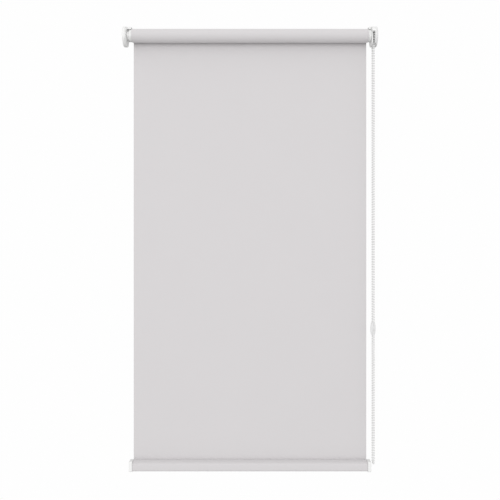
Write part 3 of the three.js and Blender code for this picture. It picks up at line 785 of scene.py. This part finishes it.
# %% [markdown]
# One large soft light stands in front, a little above the roller and to its left. It lifts
# the plastics and gives the roll its gentle gradient from top to bottom. The floor is a pale
# painted plane far below the view, so that it sends little light up at the blind.

# %% Light and floor
LIGHT_PLACE = Vector((-0.2, -2.4, 0.1))
LIGHT_AIM = Vector((0, 0, -0.4))
LIGHT_SIDE = 1.4
LIGHT_POWER = 13
FLOOR_DROP = 1.6
FLOOR_SIDE = 2.4
FLOOR_DARK = (0.80, 0.80, 0.80)
FLOOR_LIGHT = (0.84, 0.84, 0.84)

deselect()
bpy.ops.object.light_add(type="AREA", location=LIGHT_PLACE)
lamp = bpy.context.object
lamp.name = "front_light"
lamp.data.size = LIGHT_SIDE
lamp.data.energy = LIGHT_POWER
lamp.rotation_euler = (LIGHT_AIM - LIGHT_PLACE).to_track_quat("-Z", "Y").to_euler()

deselect()
bpy.ops.mesh.primitive_plane_add(
    size=FLOOR_SIDE, location=(0, 0, cad_box[0][2] - FLOOR_DROP))
floor = settle(bpy.context.object, "studio_floor")
floor_paint, floor_shader = new_material("floor_paint", FLOOR_LIGHT, roughness=0.7)
floor_place = add_node(floor_paint, "ShaderNodeTexCoord")
floor_cloud = noise_on(floor_paint, floor_place, "Object", scale=6, detail=3)
tint(floor_paint, floor_shader, floor_cloud, "Fac", FLOOR_DARK, FLOOR_LIGHT)
floor.data.materials.append(floor_paint)

# %% [markdown]
# The hardware is moulded plastic. Its pieces are built the way a machinist would think of
# them: discs and blocks joined together, holes and channels cut out, and then every sharp
# edge broken by a small bevel, because no mould leaves a knife edge and it is the bevel that
# catches the light. Round forms get many sides here, so that they look round close up.

# %% Joining and cutting
ROUND_SIDES = 96
BORE_SIDES = 48
SMALL_SIDES = 32
OVERRUN = 1 * MM


def block(low, high):
    deselect()
    bpy.ops.mesh.primitive_cube_add(size=1, location=[(a + b) / 2 for a, b in zip(low, high)])
    made = bpy.context.object
    made.scale = [b - a for a, b in zip(low, high)]
    return settle(made, "block")


def disc(x0, x1, radius, y=AXIS_Y, z=0, sides=ROUND_SIDES):
    deselect()
    bpy.ops.mesh.primitive_cylinder_add(
        vertices=sides, radius=radius, depth=x1 - x0,
        location=((x0 + x1) / 2, y, z), rotation=(0, math.pi / 2, 0))
    return settle(bpy.context.object, "disc")


def combine(body, tools, operation):
    for tool in tools:
        apply_modifier(body, "BOOLEAN", object=tool, operation=operation, solver="EXACT")
        bpy.data.objects.remove(tool)
    return body


def unite(body, *tools):
    return combine(body, tools, "UNION")


def cut(body, *tools):
    return combine(body, tools, "DIFFERENCE")


# %% [markdown]
# Joining and cutting leave doubled points and seams across flat faces, which a bevel would
# trip over, so a piece is cleaned before its edges are softened. Weighted normals then keep
# the flat faces flat beside the small bevels. Turned pieces are made as on a lathe: an
# outline of points is spun about the axis.

# %% Softening, mirroring and turning
FLAT_ANGLE = math.radians(0.5)
SHARP_ANGLE = math.radians(30)


def soften(obj, width, segments=2):
    enter_edit(obj)
    bpy.ops.mesh.remove_doubles(threshold=TINY)
    bpy.ops.mesh.dissolve_limited(angle_limit=FLAT_ANGLE)
    close_shell()
    apply_modifier(
        obj, "BEVEL", width=width, segments=segments,
        limit_method="ANGLE", angle_limit=SHARP_ANGLE)
    smooth(obj, degrees=40)
    return apply_modifier(obj, "WEIGHTED_NORMAL", keep_sharp=True)


def mirror_left(obj):
    pick(obj)
    obj.scale = (-1, 1, 1)
    bpy.ops.object.transform_apply(location=False, rotation=False, scale=True)
    return obj


def spun(places, on_axis, sides, center, axis):
    """A ring of points, opened where it lies on the axis, and spun a full turn about it."""
    shape = ring_through(places)
    select_edges(shape, on_axis)
    bpy.ops.mesh.delete(type="EDGE")
    bpy.ops.mesh.select_all(action="SELECT")
    bpy.ops.mesh.spin(steps=sides, angle=2 * math.pi, center=center, axis=axis)
    close_shell(weld=True)
    return shape


def turned(profile, sides=ROUND_SIDES, z=0):
    """A profile of (X, radius) points, spun about a line along X."""
    places = [(x, AXIS_Y, z + radius) for x, radius in profile]
    return spun(
        places, lambda a, b: max(a.z, b.z) - z < TINY, sides, (0, AXIS_Y, z), (1, 0, 0))


print("bevelled pieces use", ROUND_SIDES, "sides on round forms")

# %% [markdown]
# Each bracket is an upright cheek with a flange along the ceiling and one along the wall, so
# that it can be fixed either way. The cheek is round at the bottom and square at the back,
# and the ceiling flange has a lip turned down in front, which stiffens it and hides the screw.
# The slots are longer than they are wide, so that the blind can be set level. The two
# brackets differ only in their width and in what the cheek carries, so one function makes
# both, and the idle one is mirrored to the left.

# %% Bracket sizes
GAP = 0.3 * MM
RUN_GAP = 0.35 * MM
BRACKET_WALL = 2.2 * MM
CHEEK_RADIUS = 23.5 * MM
CHEEK_Z = -2.8 * MM
CEILING_Z = CHEEK_RADIUS + CHEEK_Z
FLANGE_X = CLOTH_END + 1.5 * MM
FLANGE_FRONT = AXIS_Y - 3.5 * MM
FLANGE_CORNER = 5 * MM
FLANGE_LIP = 5.5 * MM
WALL_FLANGE_FOOT = -6 * MM
IDLE_CHEEK_X = CLOTH_END + 12.6 * MM
HOUSING_X = CLOTH_END + 8 * MM
WHEEL_HALF = 3 * MM
WHEEL_PLAY = 0.4 * MM
DRIVE_CHEEK_X = CHAIN_X + WHEEL_HALF + WHEEL_PLAY
SLOT_RADIUS = 2.25 * MM
SLOT_LENGTH = 9 * MM
SLOT_ROUND = 0.995 * SLOT_RADIUS
SLOT_STEPS = 8
FLANGE_STEPS = 10
WALL_SLOT_Z = 7 * MM
CEILING_SLOT_Y = -14 * MM
CLIP_RADIUS = 1.6 * MM
CLIP_CIRCLE = 19 * MM
CLIP_TURNS = (-15, 45, 135)
EDGE_SOFTNESS = 0.35 * MM
print(f"cheeks {2 * CHEEK_RADIUS / MM:.0f} mm across")

# %% Parts that both brackets have
def round_edges(obj, wanted, radius, steps):
    select_edges(obj, wanted)
    bpy.ops.mesh.bevel(offset=radius, segments=steps, affect="EDGES")
    leave_edit()


def clip_pins(x0, x1, radius):
    """Three small round bars on a circle about the middle of the cheek."""
    bars = []
    for turn in CLIP_TURNS:
        y = AXIS_Y + CLIP_CIRCLE * math.cos(math.radians(turn))
        z = CHEEK_Z + CLIP_CIRCLE * math.sin(math.radians(turn))
        bars.append(disc(x0, x1, radius, y, z, SMALL_SIDES))
    return bars


def screw_slot(x, across, in_ceiling):
    """A block whose upright corners are rounded into a slot by bevelling four edges."""
    half = (SLOT_LENGTH / 2, SLOT_RADIUS)
    deep = BRACKET_WALL + OVERRUN
    if in_ceiling:
        low = (x - half[0], across - half[1], CEILING_Z - deep)
        high = (x + half[0], across + half[1], CEILING_Z + OVERRUN)
    else:
        low = (x - half[0], -deep, across - half[1])
        high = (x + half[0], OVERRUN, across + half[1])
    slot = block(low, high)
    axis = 2 if in_ceiling else 1
    round_edges(slot, lambda a, b: abs((a - b)[axis]) > deep / 2, SLOT_ROUND, SLOT_STEPS)
    return slot


def ceiling_flange(x1, lip_x1):
    """A plate with one rounded corner and a lip turned down along its front."""
    lip_foot = CEILING_Z - FLANGE_LIP
    underside = CEILING_Z - BRACKET_WALL
    flange = block((FLANGE_X, FLANGE_FRONT, lip_foot), (x1, 0, CEILING_Z))
    near_x = FLANGE_X + OVERRUN
    near_y = FLANGE_FRONT + OVERRUN
    at_corner = lambda a, b: max(a.x, b.x) < near_x and max(a.y, b.y) < near_y
    round_edges(flange, at_corner, FLANGE_CORNER, FLANGE_STEPS)
    return cut(
        flange,
        block((FLANGE_X - OVERRUN, FLANGE_FRONT + BRACKET_WALL, lip_foot - OVERRUN),
              (x1 + OVERRUN, OVERRUN, underside)),
        block((lip_x1, FLANGE_FRONT - OVERRUN, lip_foot - OVERRUN),
              (x1 + 2 * OVERRUN, OVERRUN, underside)))


def bracket(cheek_x, lip_x1):
    outer_x = cheek_x + BRACKET_WALL
    screw_x = (FLANGE_X + cheek_x) / 2
    body = disc(cheek_x, outer_x, CHEEK_RADIUS, z=CHEEK_Z)
    unite(
        body,
        block((cheek_x, AXIS_Y, WALL_FLANGE_FOOT), (outer_x, 0, CEILING_Z)),
        ceiling_flange(outer_x, lip_x1),
        block((FLANGE_X, -BRACKET_WALL, WALL_FLANGE_FOOT), (outer_x, 0, CEILING_Z)))
    return cut(
        body,
        screw_slot(screw_x, WALL_SLOT_Z, False),
        screw_slot(screw_x, CEILING_SLOT_Y, True),
        *clip_pins(cheek_x - OVERRUN, outer_x + OVERRUN, CLIP_RADIUS + RUN_GAP))


# %% Idle bracket, with the socket that takes the sprung pin
SOCKET_RADIUS = 5.4 * MM
SOCKET_DEPTH = 3 * MM
PIN_RADIUS = 3 * MM

idle_outer_x = IDLE_CHEEK_X + BRACKET_WALL
socket_x = idle_outer_x + SOCKET_DEPTH
idle_bracket = unite(
    bracket(IDLE_CHEEK_X, idle_outer_x + OVERRUN),
    disc(IDLE_CHEEK_X, socket_x, SOCKET_RADIUS, sides=BORE_SIDES))
cut(idle_bracket, disc(
    IDLE_CHEEK_X - OVERRUN, socket_x + OVERRUN, PIN_RADIUS + RUN_GAP, sides=BORE_SIDES))
soften(mirror_left(idle_bracket), EDGE_SOFTNESS)
hand_over(idle_bracket, "idle_bracket_moulded", "mount", "white_plastic", "idle_bracket")

# %% Drive bracket, with the square hole that keeps the spindle from turning
TENON = 6.4 * MM

hole_half = TENON / 2 + GAP
drive_outer_x = DRIVE_CHEEK_X + BRACKET_WALL
drive_bracket = cut(bracket(DRIVE_CHEEK_X, HOUSING_X - GAP), block(
    (DRIVE_CHEEK_X - OVERRUN, AXIS_Y - hole_half, -hole_half),
    (drive_outer_x + OVERRUN, AXIS_Y + hole_half, hole_half)))
soften(drive_bracket, EDGE_SOFTNESS)
hand_over(drive_bracket, "drive_bracket_moulded", "mount", "white_plastic", "drive_bracket")

# %% [markdown]
# A round cover snaps on to each bracket with three small pins. The idle one is a shallow cup
# over the pin's socket, the drive one a thin disc, and both are turned from a profile. The
# outer rim has a generous radius, which is what shows as a soft bright edge in the
# photograph, so the profile already has it before the small edges are softened.

# %% Covers
COVER_EDGE = 1.6 * MM
COVER_BASE = 1.8 * MM
IDLE_COVER_DEPTH = 5.7 * MM
DRIVE_COVER_DEPTH = 2 * MM
COVER_ROUND = 1.4 * MM
COVER_SOFTNESS = 0.2 * MM
ROUND_STEPS = 8
CLIP_REACH = 0.4 * MM
CLIP_DEPTH = 3.5 * MM


def cover_cup(x0, depth, hollow):
    x1 = x0 + depth
    rim = arc(x1 - COVER_ROUND, CHEEK_RADIUS - COVER_ROUND, COVER_ROUND, COVER_ROUND,
              math.pi / 2, 0, ROUND_STEPS)
    if hollow:
        inside = [(x1 - COVER_BASE, 0), (x1 - COVER_BASE, CHEEK_RADIUS - COVER_EDGE),
                  (x0, CHEEK_RADIUS - COVER_EDGE)]
    else:
        inside = [(x0, 0)]
    return turned([(x0, CHEEK_RADIUS), *rim, (x1, 0), *inside], z=CHEEK_Z)


idle_cover_x = idle_outer_x + GAP
idle_cover_floor = idle_cover_x + IDLE_COVER_DEPTH - COVER_BASE
idle_cover = unite(
    cover_cup(idle_cover_x, IDLE_COVER_DEPTH, True),
    *clip_pins(IDLE_CHEEK_X - CLIP_REACH, idle_cover_floor + OVERRUN, CLIP_RADIUS))
soften(mirror_left(idle_cover), COVER_SOFTNESS)
hand_over(idle_cover, "idle_cover_cup", "mount", "white_plastic", "idle_cover")

drive_cover_x = drive_outer_x + GAP
drive_cover = unite(
    cover_cup(drive_cover_x, DRIVE_COVER_DEPTH, False),
    *clip_pins(DRIVE_CHEEK_X - GAP - CLIP_DEPTH, drive_cover_x + OVERRUN, CLIP_RADIUS))
soften(drive_cover, COVER_SOFTNESS)
hand_over(drive_cover, "drive_cover_disc", "mount", "white_plastic", "drive_cover")

# %% [markdown]
# The chain housing wraps the wheel. It is open towards the bracket, which closes it, and has a
# channel for each strand at the bottom with a divider between them. The lower front is cut
# away, and there the chain shows as it runs on to the wheel. Its inner wall is set back there,
# and a lip on the outer side keeps the chain in. It starts as a solid disc, from which the
# room for the wheel and the openings are cut, so its outside stays true to the cheek's.

# %% Chain housing
HOUSING_WALL = 2.2 * MM
GUARD_RADIUS = 13.4 * MM
DIVIDER_HALF = 5.6 * MM
DIVIDER_TOP = -15 * MM
FRONT_SLOT_Z = 5 * MM
FRONT_SLOT_LIP = 2.3 * MM
FRONT_SLOT_SETBACK = 8 * MM
SLEEVE_RADIUS = 8.5 * MM

floor_x = HOUSING_X + HOUSING_WALL
housing_end_x = DRIVE_CHEEK_X - GAP
before_x = HOUSING_X - OVERRUN
past_x = housing_end_x + OVERRUN
slot_end_x = housing_end_x - FRONT_SLOT_LIP
setback_y = AXIS_Y - CHEEK_RADIUS + FRONT_SLOT_SETBACK
under_flange_z = CEILING_Z - BRACKET_WALL - GAP
far = 2 * CHEEK_RADIUS
housing = cut(
    disc(HOUSING_X, housing_end_x, CHEEK_RADIUS, z=CHEEK_Z),
    disc(floor_x, past_x, GUARD_RADIUS),
    block((floor_x, AXIS_Y - GUARD_RADIUS, -far), (past_x, AXIS_Y + GUARD_RADIUS, 0)),
    block((floor_x, AXIS_Y - far, -far), (slot_end_x, AXIS_Y, FRONT_SLOT_Z)),
    block((before_x, AXIS_Y - far, -far), (slot_end_x, setback_y, FRONT_SLOT_Z)),
    block((before_x, FLANGE_FRONT - GAP, under_flange_z), (past_x, OVERRUN, far)),
    disc(before_x, floor_x + OVERRUN, SLEEVE_RADIUS + RUN_GAP))
divider = block(
    (floor_x - OVERRUN, AXIS_Y - DIVIDER_HALF, -far),
    (housing_end_x, AXIS_Y + DIVIDER_HALF, DIVIDER_TOP))
combine(divider, [disc(HOUSING_X, housing_end_x, CHEEK_RADIUS, z=CHEEK_Z)], "INTERSECT")
unite(housing, divider)
cut(housing, *clip_pins(housing_end_x - CLIP_DEPTH - GAP, past_x, CLIP_RADIUS + RUN_GAP))
soften(housing, EDGE_SOFTNESS)
hand_over(housing, "chain_housing", "mount", "white_plastic", "drive_housing")

# %% [markdown]
# A plug fills each end of the tube, and its white hub shows between the roll and the bracket.
# Both are turned from a profile with a thin flange that rests against the tube's end. Slots
# along the sleeve take the tube's inner ribs, so plug and tube turn together.

# %% End plugs
TUBE_BORE = 14 * MM
RIBS = 4
FIRST_RIB_TURN = 45
RIB_WIDTH = 1.6 * MM
RIB_HEIGHT = 1.2 * MM
PLUG_RADIUS = TUBE_BORE - GAP
FLANGE_RADIUS = 14.8 * MM
HUB_RADIUS = 13 * MM
PLUG_X = CLOTH_END + GAP
HUB_X = PLUG_X + 1 * MM
IDLE_REACH = 20 * MM
COLLAR = 5.5 * MM
NECK_RADIUS = 10 * MM
CHAMBER_RADIUS = 5.2 * MM
PIN_WALL = 4.7 * MM
SMALL_SOFTNESS = 0.25 * MM
FLANGE = [
    (HUB_X, HUB_RADIUS), (HUB_X, FLANGE_RADIUS), (PLUG_X, FLANGE_RADIUS), (PLUG_X, PLUG_RADIUS)]


def rib_slots(plug, reach):
    slots = []
    for number in range(RIBS):
        slot = block(
            (PLUG_X - reach - OVERRUN, TUBE_BORE - RIB_HEIGHT - GAP, -RIB_WIDTH / 2 - GAP),
            (PLUG_X, TUBE_BORE + RIB_HEIGHT + GAP, RIB_WIDTH / 2 + GAP))
        slot.rotation_euler = (math.radians(360 / RIBS * number + FIRST_RIB_TURN), 0, 0)
        slot.location = (0, AXIS_Y, 0)
        slots.append(settle(slot, "slot"))
    return cut(plug, *slots)


idle_x0 = PLUG_X - IDLE_REACH
idle_x1 = IDLE_CHEEK_X - GAP
idle_plug = turned([
    (idle_x0, CHAMBER_RADIUS), (idle_x1 - PIN_WALL, CHAMBER_RADIUS),
    (idle_x1 - PIN_WALL, PIN_RADIUS + GAP), (idle_x1, PIN_RADIUS + GAP), (idle_x1, NECK_RADIUS),
    (HUB_X + COLLAR, NECK_RADIUS), (HUB_X + COLLAR, HUB_RADIUS),
    *FLANGE, (idle_x0, PLUG_RADIUS)])
rib_slots(idle_plug, IDLE_REACH)
soften(mirror_left(idle_plug), SMALL_SOFTNESS)
hand_over(idle_plug, "idle_plug_turned", "roller", "white_plastic", "idle_plug")

# %% [markdown]
# Inside the drive plug a thick arc of plastic, the finger, is what the wrap springs act on
# when the chain is pulled. It is one radial face spun through the finger's own span, and it
# is joined to the plug before the slots are cut.

# %% Drive plug, with its finger
DRIVE_REACH = 24 * MM
CLUTCH_WALL = 3.5 * MM
SPINDLE_RADIUS = 4.5 * MM
FINGER_INNER = 6.1 * MM
FINGER_SPAN = math.radians(150)
FINGER_STEPS = 40

drive_x0 = PLUG_X - DRIVE_REACH
drive_x1 = HOUSING_X - GAP
bore = SLEEVE_RADIUS + RUN_GAP


def ring_finger(x0, x1, inner, outer, middle):
    start = middle - FINGER_SPAN / 2
    deselect()
    bpy.ops.mesh.primitive_plane_add(size=1)
    face = bpy.context.object
    corners = [(x0, inner), (x1, inner), (x1, outer), (x0, outer)]
    for index, (x, radius) in zip(face.data.polygons[0].vertices, corners):
        face.data.vertices[index].co = (
            x, AXIS_Y + radius * math.cos(start), radius * math.sin(start))
    enter_edit(face)
    bpy.ops.mesh.spin(
        steps=FINGER_STEPS, angle=FINGER_SPAN, center=(0, AXIS_Y, 0), axis=(1, 0, 0))
    close_shell(weld=True)
    return face


drive_plug = turned([
    (drive_x0, SPINDLE_RADIUS + GAP), (drive_x0 + CLUTCH_WALL, SPINDLE_RADIUS + GAP),
    (drive_x0 + CLUTCH_WALL, bore), (drive_x1, bore), (drive_x1, HUB_RADIUS),
    *FLANGE, (drive_x0, PLUG_RADIUS)])
unite(drive_plug, ring_finger(
    drive_x0 + CLUTCH_WALL - OVERRUN, PLUG_X, FINGER_INNER, bore + OVERRUN, math.pi))
rib_slots(drive_plug, DRIVE_REACH)
soften(drive_plug, SMALL_SOFTNESS)
hand_over(drive_plug, "drive_plug_turned", "roller", "white_plastic", "drive_plug")

# %% [markdown]
# The pin that carries the idle end is a turned steel rod. Its shoulder stops it inside the
# plug, and its thin tail keeps the spring straight. A lathe makes it from a bar, so here its
# profile is spun about the roller's axis.

# %% The idle pin
PIN_TAIL = 12.7 * MM
PIN_TAIL_RADIUS = 2.2 * MM
PIN_SHOULDER = 3 * MM
PIN_SHOULDER_RADIUS = 4.8 * MM
PIN_TIP_ROUND = 1.2 * MM
PIN_SOFTNESS = 0.2 * MM

pin_low, pin_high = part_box("idle_pin")
tip_x = -pin_low.x
tail_x = -pin_high.x
stop_x = tail_x + PIN_TAIL
pin = turned([
    (tail_x, 0), (tail_x, PIN_TAIL_RADIUS), (stop_x, PIN_TAIL_RADIUS),
    (stop_x, PIN_SHOULDER_RADIUS), (stop_x + PIN_SHOULDER, PIN_SHOULDER_RADIUS),
    (stop_x + PIN_SHOULDER, PIN_RADIUS), (tip_x - PIN_TIP_ROUND, PIN_RADIUS),
    (tip_x, PIN_RADIUS - PIN_TIP_ROUND), (tip_x, 0)], sides=BORE_SIDES)
soften(mirror_left(pin), PIN_SOFTNESS)
hand_over(pin, "idle_pin_turned", "idle_pin", "pin_steel", "idle_pin")

# %% [markdown]
# The idle pin is pushed out by a small compression spring inside the plug. A coil is one round section of wire
# carried round an axis while it moves along it, which is what the Screw modifier does. When the pin is pushed in,
# the real spring's turns come closer together and it shortens towards the end that stays.

# %% The spring behind the idle pin
PIN_WIRE = 0.8 * MM
PIN_COIL_TURNS = 8
COIL_STEPS = 32
WIRE_SIDES = 12

spring_low, spring_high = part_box("idle_pin_spring")
coil_length = spring_high.x - spring_low.x
coil_radius = (spring_high.z - spring_low.z - PIN_WIRE) / 2

deselect()
bpy.ops.mesh.primitive_circle_add(
    vertices=WIRE_SIDES, radius=PIN_WIRE / 2, location=(0, AXIS_Y, 0))
coil = bpy.context.object
enter_edit(coil)
bpy.ops.transform.translate(value=(spring_low.x + PIN_WIRE / 2, coil_radius, 0))
leave_edit()
apply_modifier(
    coil, "SCREW", axis="X", screw_offset=(coil_length - PIN_WIRE) / PIN_COIL_TURNS,
    iterations=PIN_COIL_TURNS, steps=COIL_STEPS, render_steps=COIL_STEPS)
enter_edit(coil)
bpy.ops.mesh.fill_holes(sides=WIRE_SIDES)
close_shell()
smooth(coil, degrees=40)
hand_over(coil, "pin_spring_coil", "roller", "spring_steel", "idle_pin_spring")
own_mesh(coil)

# %% [markdown]
# White caps close the ends of the bottom rail. Each one is a block with rounded corners, one
# millimetre proud of the cloth all round. Its outline is filled and pulled out along the blind,
# the outer edge is rounded, and a hollow tongue is joined on that reaches into the rail.

# %% Rail end caps
CAP_PROUD = 1 * MM
CAP_LENGTH = 7.8 * MM
CAP_ROUND = 1.5 * MM
CAP_STEPS = 6
CAP_CORNER = 4 * MM
CAP_TONGUE = 12 * MM
RAIL_WALL = 1.2 * MM
TONGUE_WALL = 1.4 * MM


def cap_outline():
    """Points of the cap's section, one rounded corner after the other."""
    back = pocket_high.y + CAP_PROUD - CAP_CORNER
    front = pocket_low.y - CAP_PROUD + CAP_CORNER
    top = pocket_high.z + CAP_PROUD - CAP_CORNER
    foot = pocket_low.z - CAP_PROUD + CAP_CORNER
    quarter = math.pi / 2
    outline = []
    for turn, (y, z) in enumerate([(back, top), (front, top), (front, foot), (back, foot)]):
        outline += arc(y, z, CAP_CORNER, CAP_CORNER,
                       turn * quarter, (turn + 1) * quarter, CORNER_STEPS)
    return outline


def bar_slug(outline, x0, length):
    """An outline as a filled face, pulled out along the blind."""
    slug = ring_through([(x0, y, z) for y, z in outline], filled=True)
    enter_edit(slug, kind="FACE")
    bpy.ops.mesh.extrude_region_move(TRANSFORM_OT_translate={"value": (length, 0, 0)})
    close_shell()
    return slug


def rail_cap(side, name):
    x0 = side * (CLOTH_END + GAP)
    x1 = x0 + side * CAP_LENGTH
    cap = bar_slug(cap_outline(), x0, side * CAP_LENGTH)
    at_end = lambda a, b: abs(a.x - x1) < TINY and abs(b.x - x1) < TINY
    round_edges(cap, at_end, CAP_ROUND, CAP_STEPS)
    inset = CLOTH_THICK + GAP + RAIL_WALL + GAP
    inwards = -side * (CAP_TONGUE + OVERRUN)
    tongue = bar_slug(pocket_outline(inset), x0 + side * OVERRUN, inwards)
    hollow = bar_slug(pocket_outline(inset + TONGUE_WALL), x0, inwards)
    unite(cap, cut(tongue, hollow))
    soften(cap, SMALL_SOFTNESS)
    hand_over(cap, name + "_moulded", "bottom_bar", "white_plastic", name)


rail_cap(-1, "rail_cap_left")
rail_cap(1, "rail_cap_right")

# %% [markdown]
# The connector joins the chain's two ends. It is a small barrel with a neck at each end, split
# down the middle into two halves. The barrel is turned about the strand, widened a little, and
# bored through for the beads. Then each half is a copy of it cut along the parting plane.

# %% The connector's barrel
connector_low, connector_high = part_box("connector_front_half")
back_half_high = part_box("connector_back_half")[1]
CONNECTOR_Z = (connector_low.z + connector_high.z) / 2
CONNECTOR_HALF = (connector_high.z - connector_low.z) / 2
CONNECTOR_X = (connector_low.x + connector_high.x) / 2
CONNECTOR_WIDE = (connector_high.x - connector_low.x) / 2
CONNECTOR_DEEP = (back_half_high.y - connector_low.y) / 2
BACK_STRAND_Y = AXIS_Y + PITCH_RADIUS
NECK = 0.74 * CONNECTOR_DEEP
SHOULDER = 0.72 * CONNECTOR_HALF
BARREL_STEPS = 20


def connector_barrel():
    """Spin the barrel's outline about its own upright axis, then widen it."""
    outline = [(0, -CONNECTOR_HALF), (NECK, -CONNECTOR_HALF)]
    for step in range(1, BARREL_STEPS):
        share = 2 * step / BARREL_STEPS - 1
        swell = (CONNECTOR_DEEP - NECK) * math.sqrt(1 - share * share)
        outline.append((NECK + swell, share * SHOULDER))
    outline += [(NECK, CONNECTOR_HALF), (0, CONNECTOR_HALF)]
    places = [(radius, 0, z) for radius, z in outline]
    barrel = spun(
        places, lambda a, b: max(a.x, b.x) < TINY, BORE_SIDES, (0, 0, 0), (0, 0, 1))
    barrel.scale = (CONNECTOR_WIDE / CONNECTOR_DEEP, 1, 1)
    barrel.location = (CONNECTOR_X, BACK_STRAND_Y, CONNECTOR_Z)
    return settle(barrel, "barrel")


def bead_bore():
    deselect()
    bpy.ops.mesh.primitive_cylinder_add(
        vertices=SMALL_SIDES, radius=BEAD / 2 + RUN_GAP, depth=2 * CONNECTOR_HALF + 2 * OVERRUN,
        location=(CHAIN_X, BACK_STRAND_Y, CONNECTOR_Z))
    return settle(bpy.context.object, "bead_bore")


barrel = cut(connector_barrel(), bead_bore())
print(f"connector {2 * CONNECTOR_HALF / MM:.1f} mm long")

# %% The connector's halves
PARTING = GAP / 2
CONNECTOR_SOFTNESS = 0.3 * MM


def connector_half(side, name):
    half = copy_of(barrel)
    enter_edit(half)
    bpy.ops.mesh.bisect(
        plane_co=(0, BACK_STRAND_Y + side * PARTING, 0), plane_no=(0, side, 0),
        use_fill=True, clear_inner=True)
    leave_edit()
    soften(half, CONNECTOR_SOFTNESS, segments=3)
    return hand_over(half, name + "_moulded", "connector", "connector_plastic", name)


connector_front = connector_half(-1, "connector_front_half")
connector_back = connector_half(1, "connector_back_half")
bpy.data.objects.remove(barrel)

# %% [markdown]
# Two things are soft, the chain's free loop and the hanging sheet. The length of the free loop is printed here.

print(f"free chain {free_end - free_start:.3f} m")
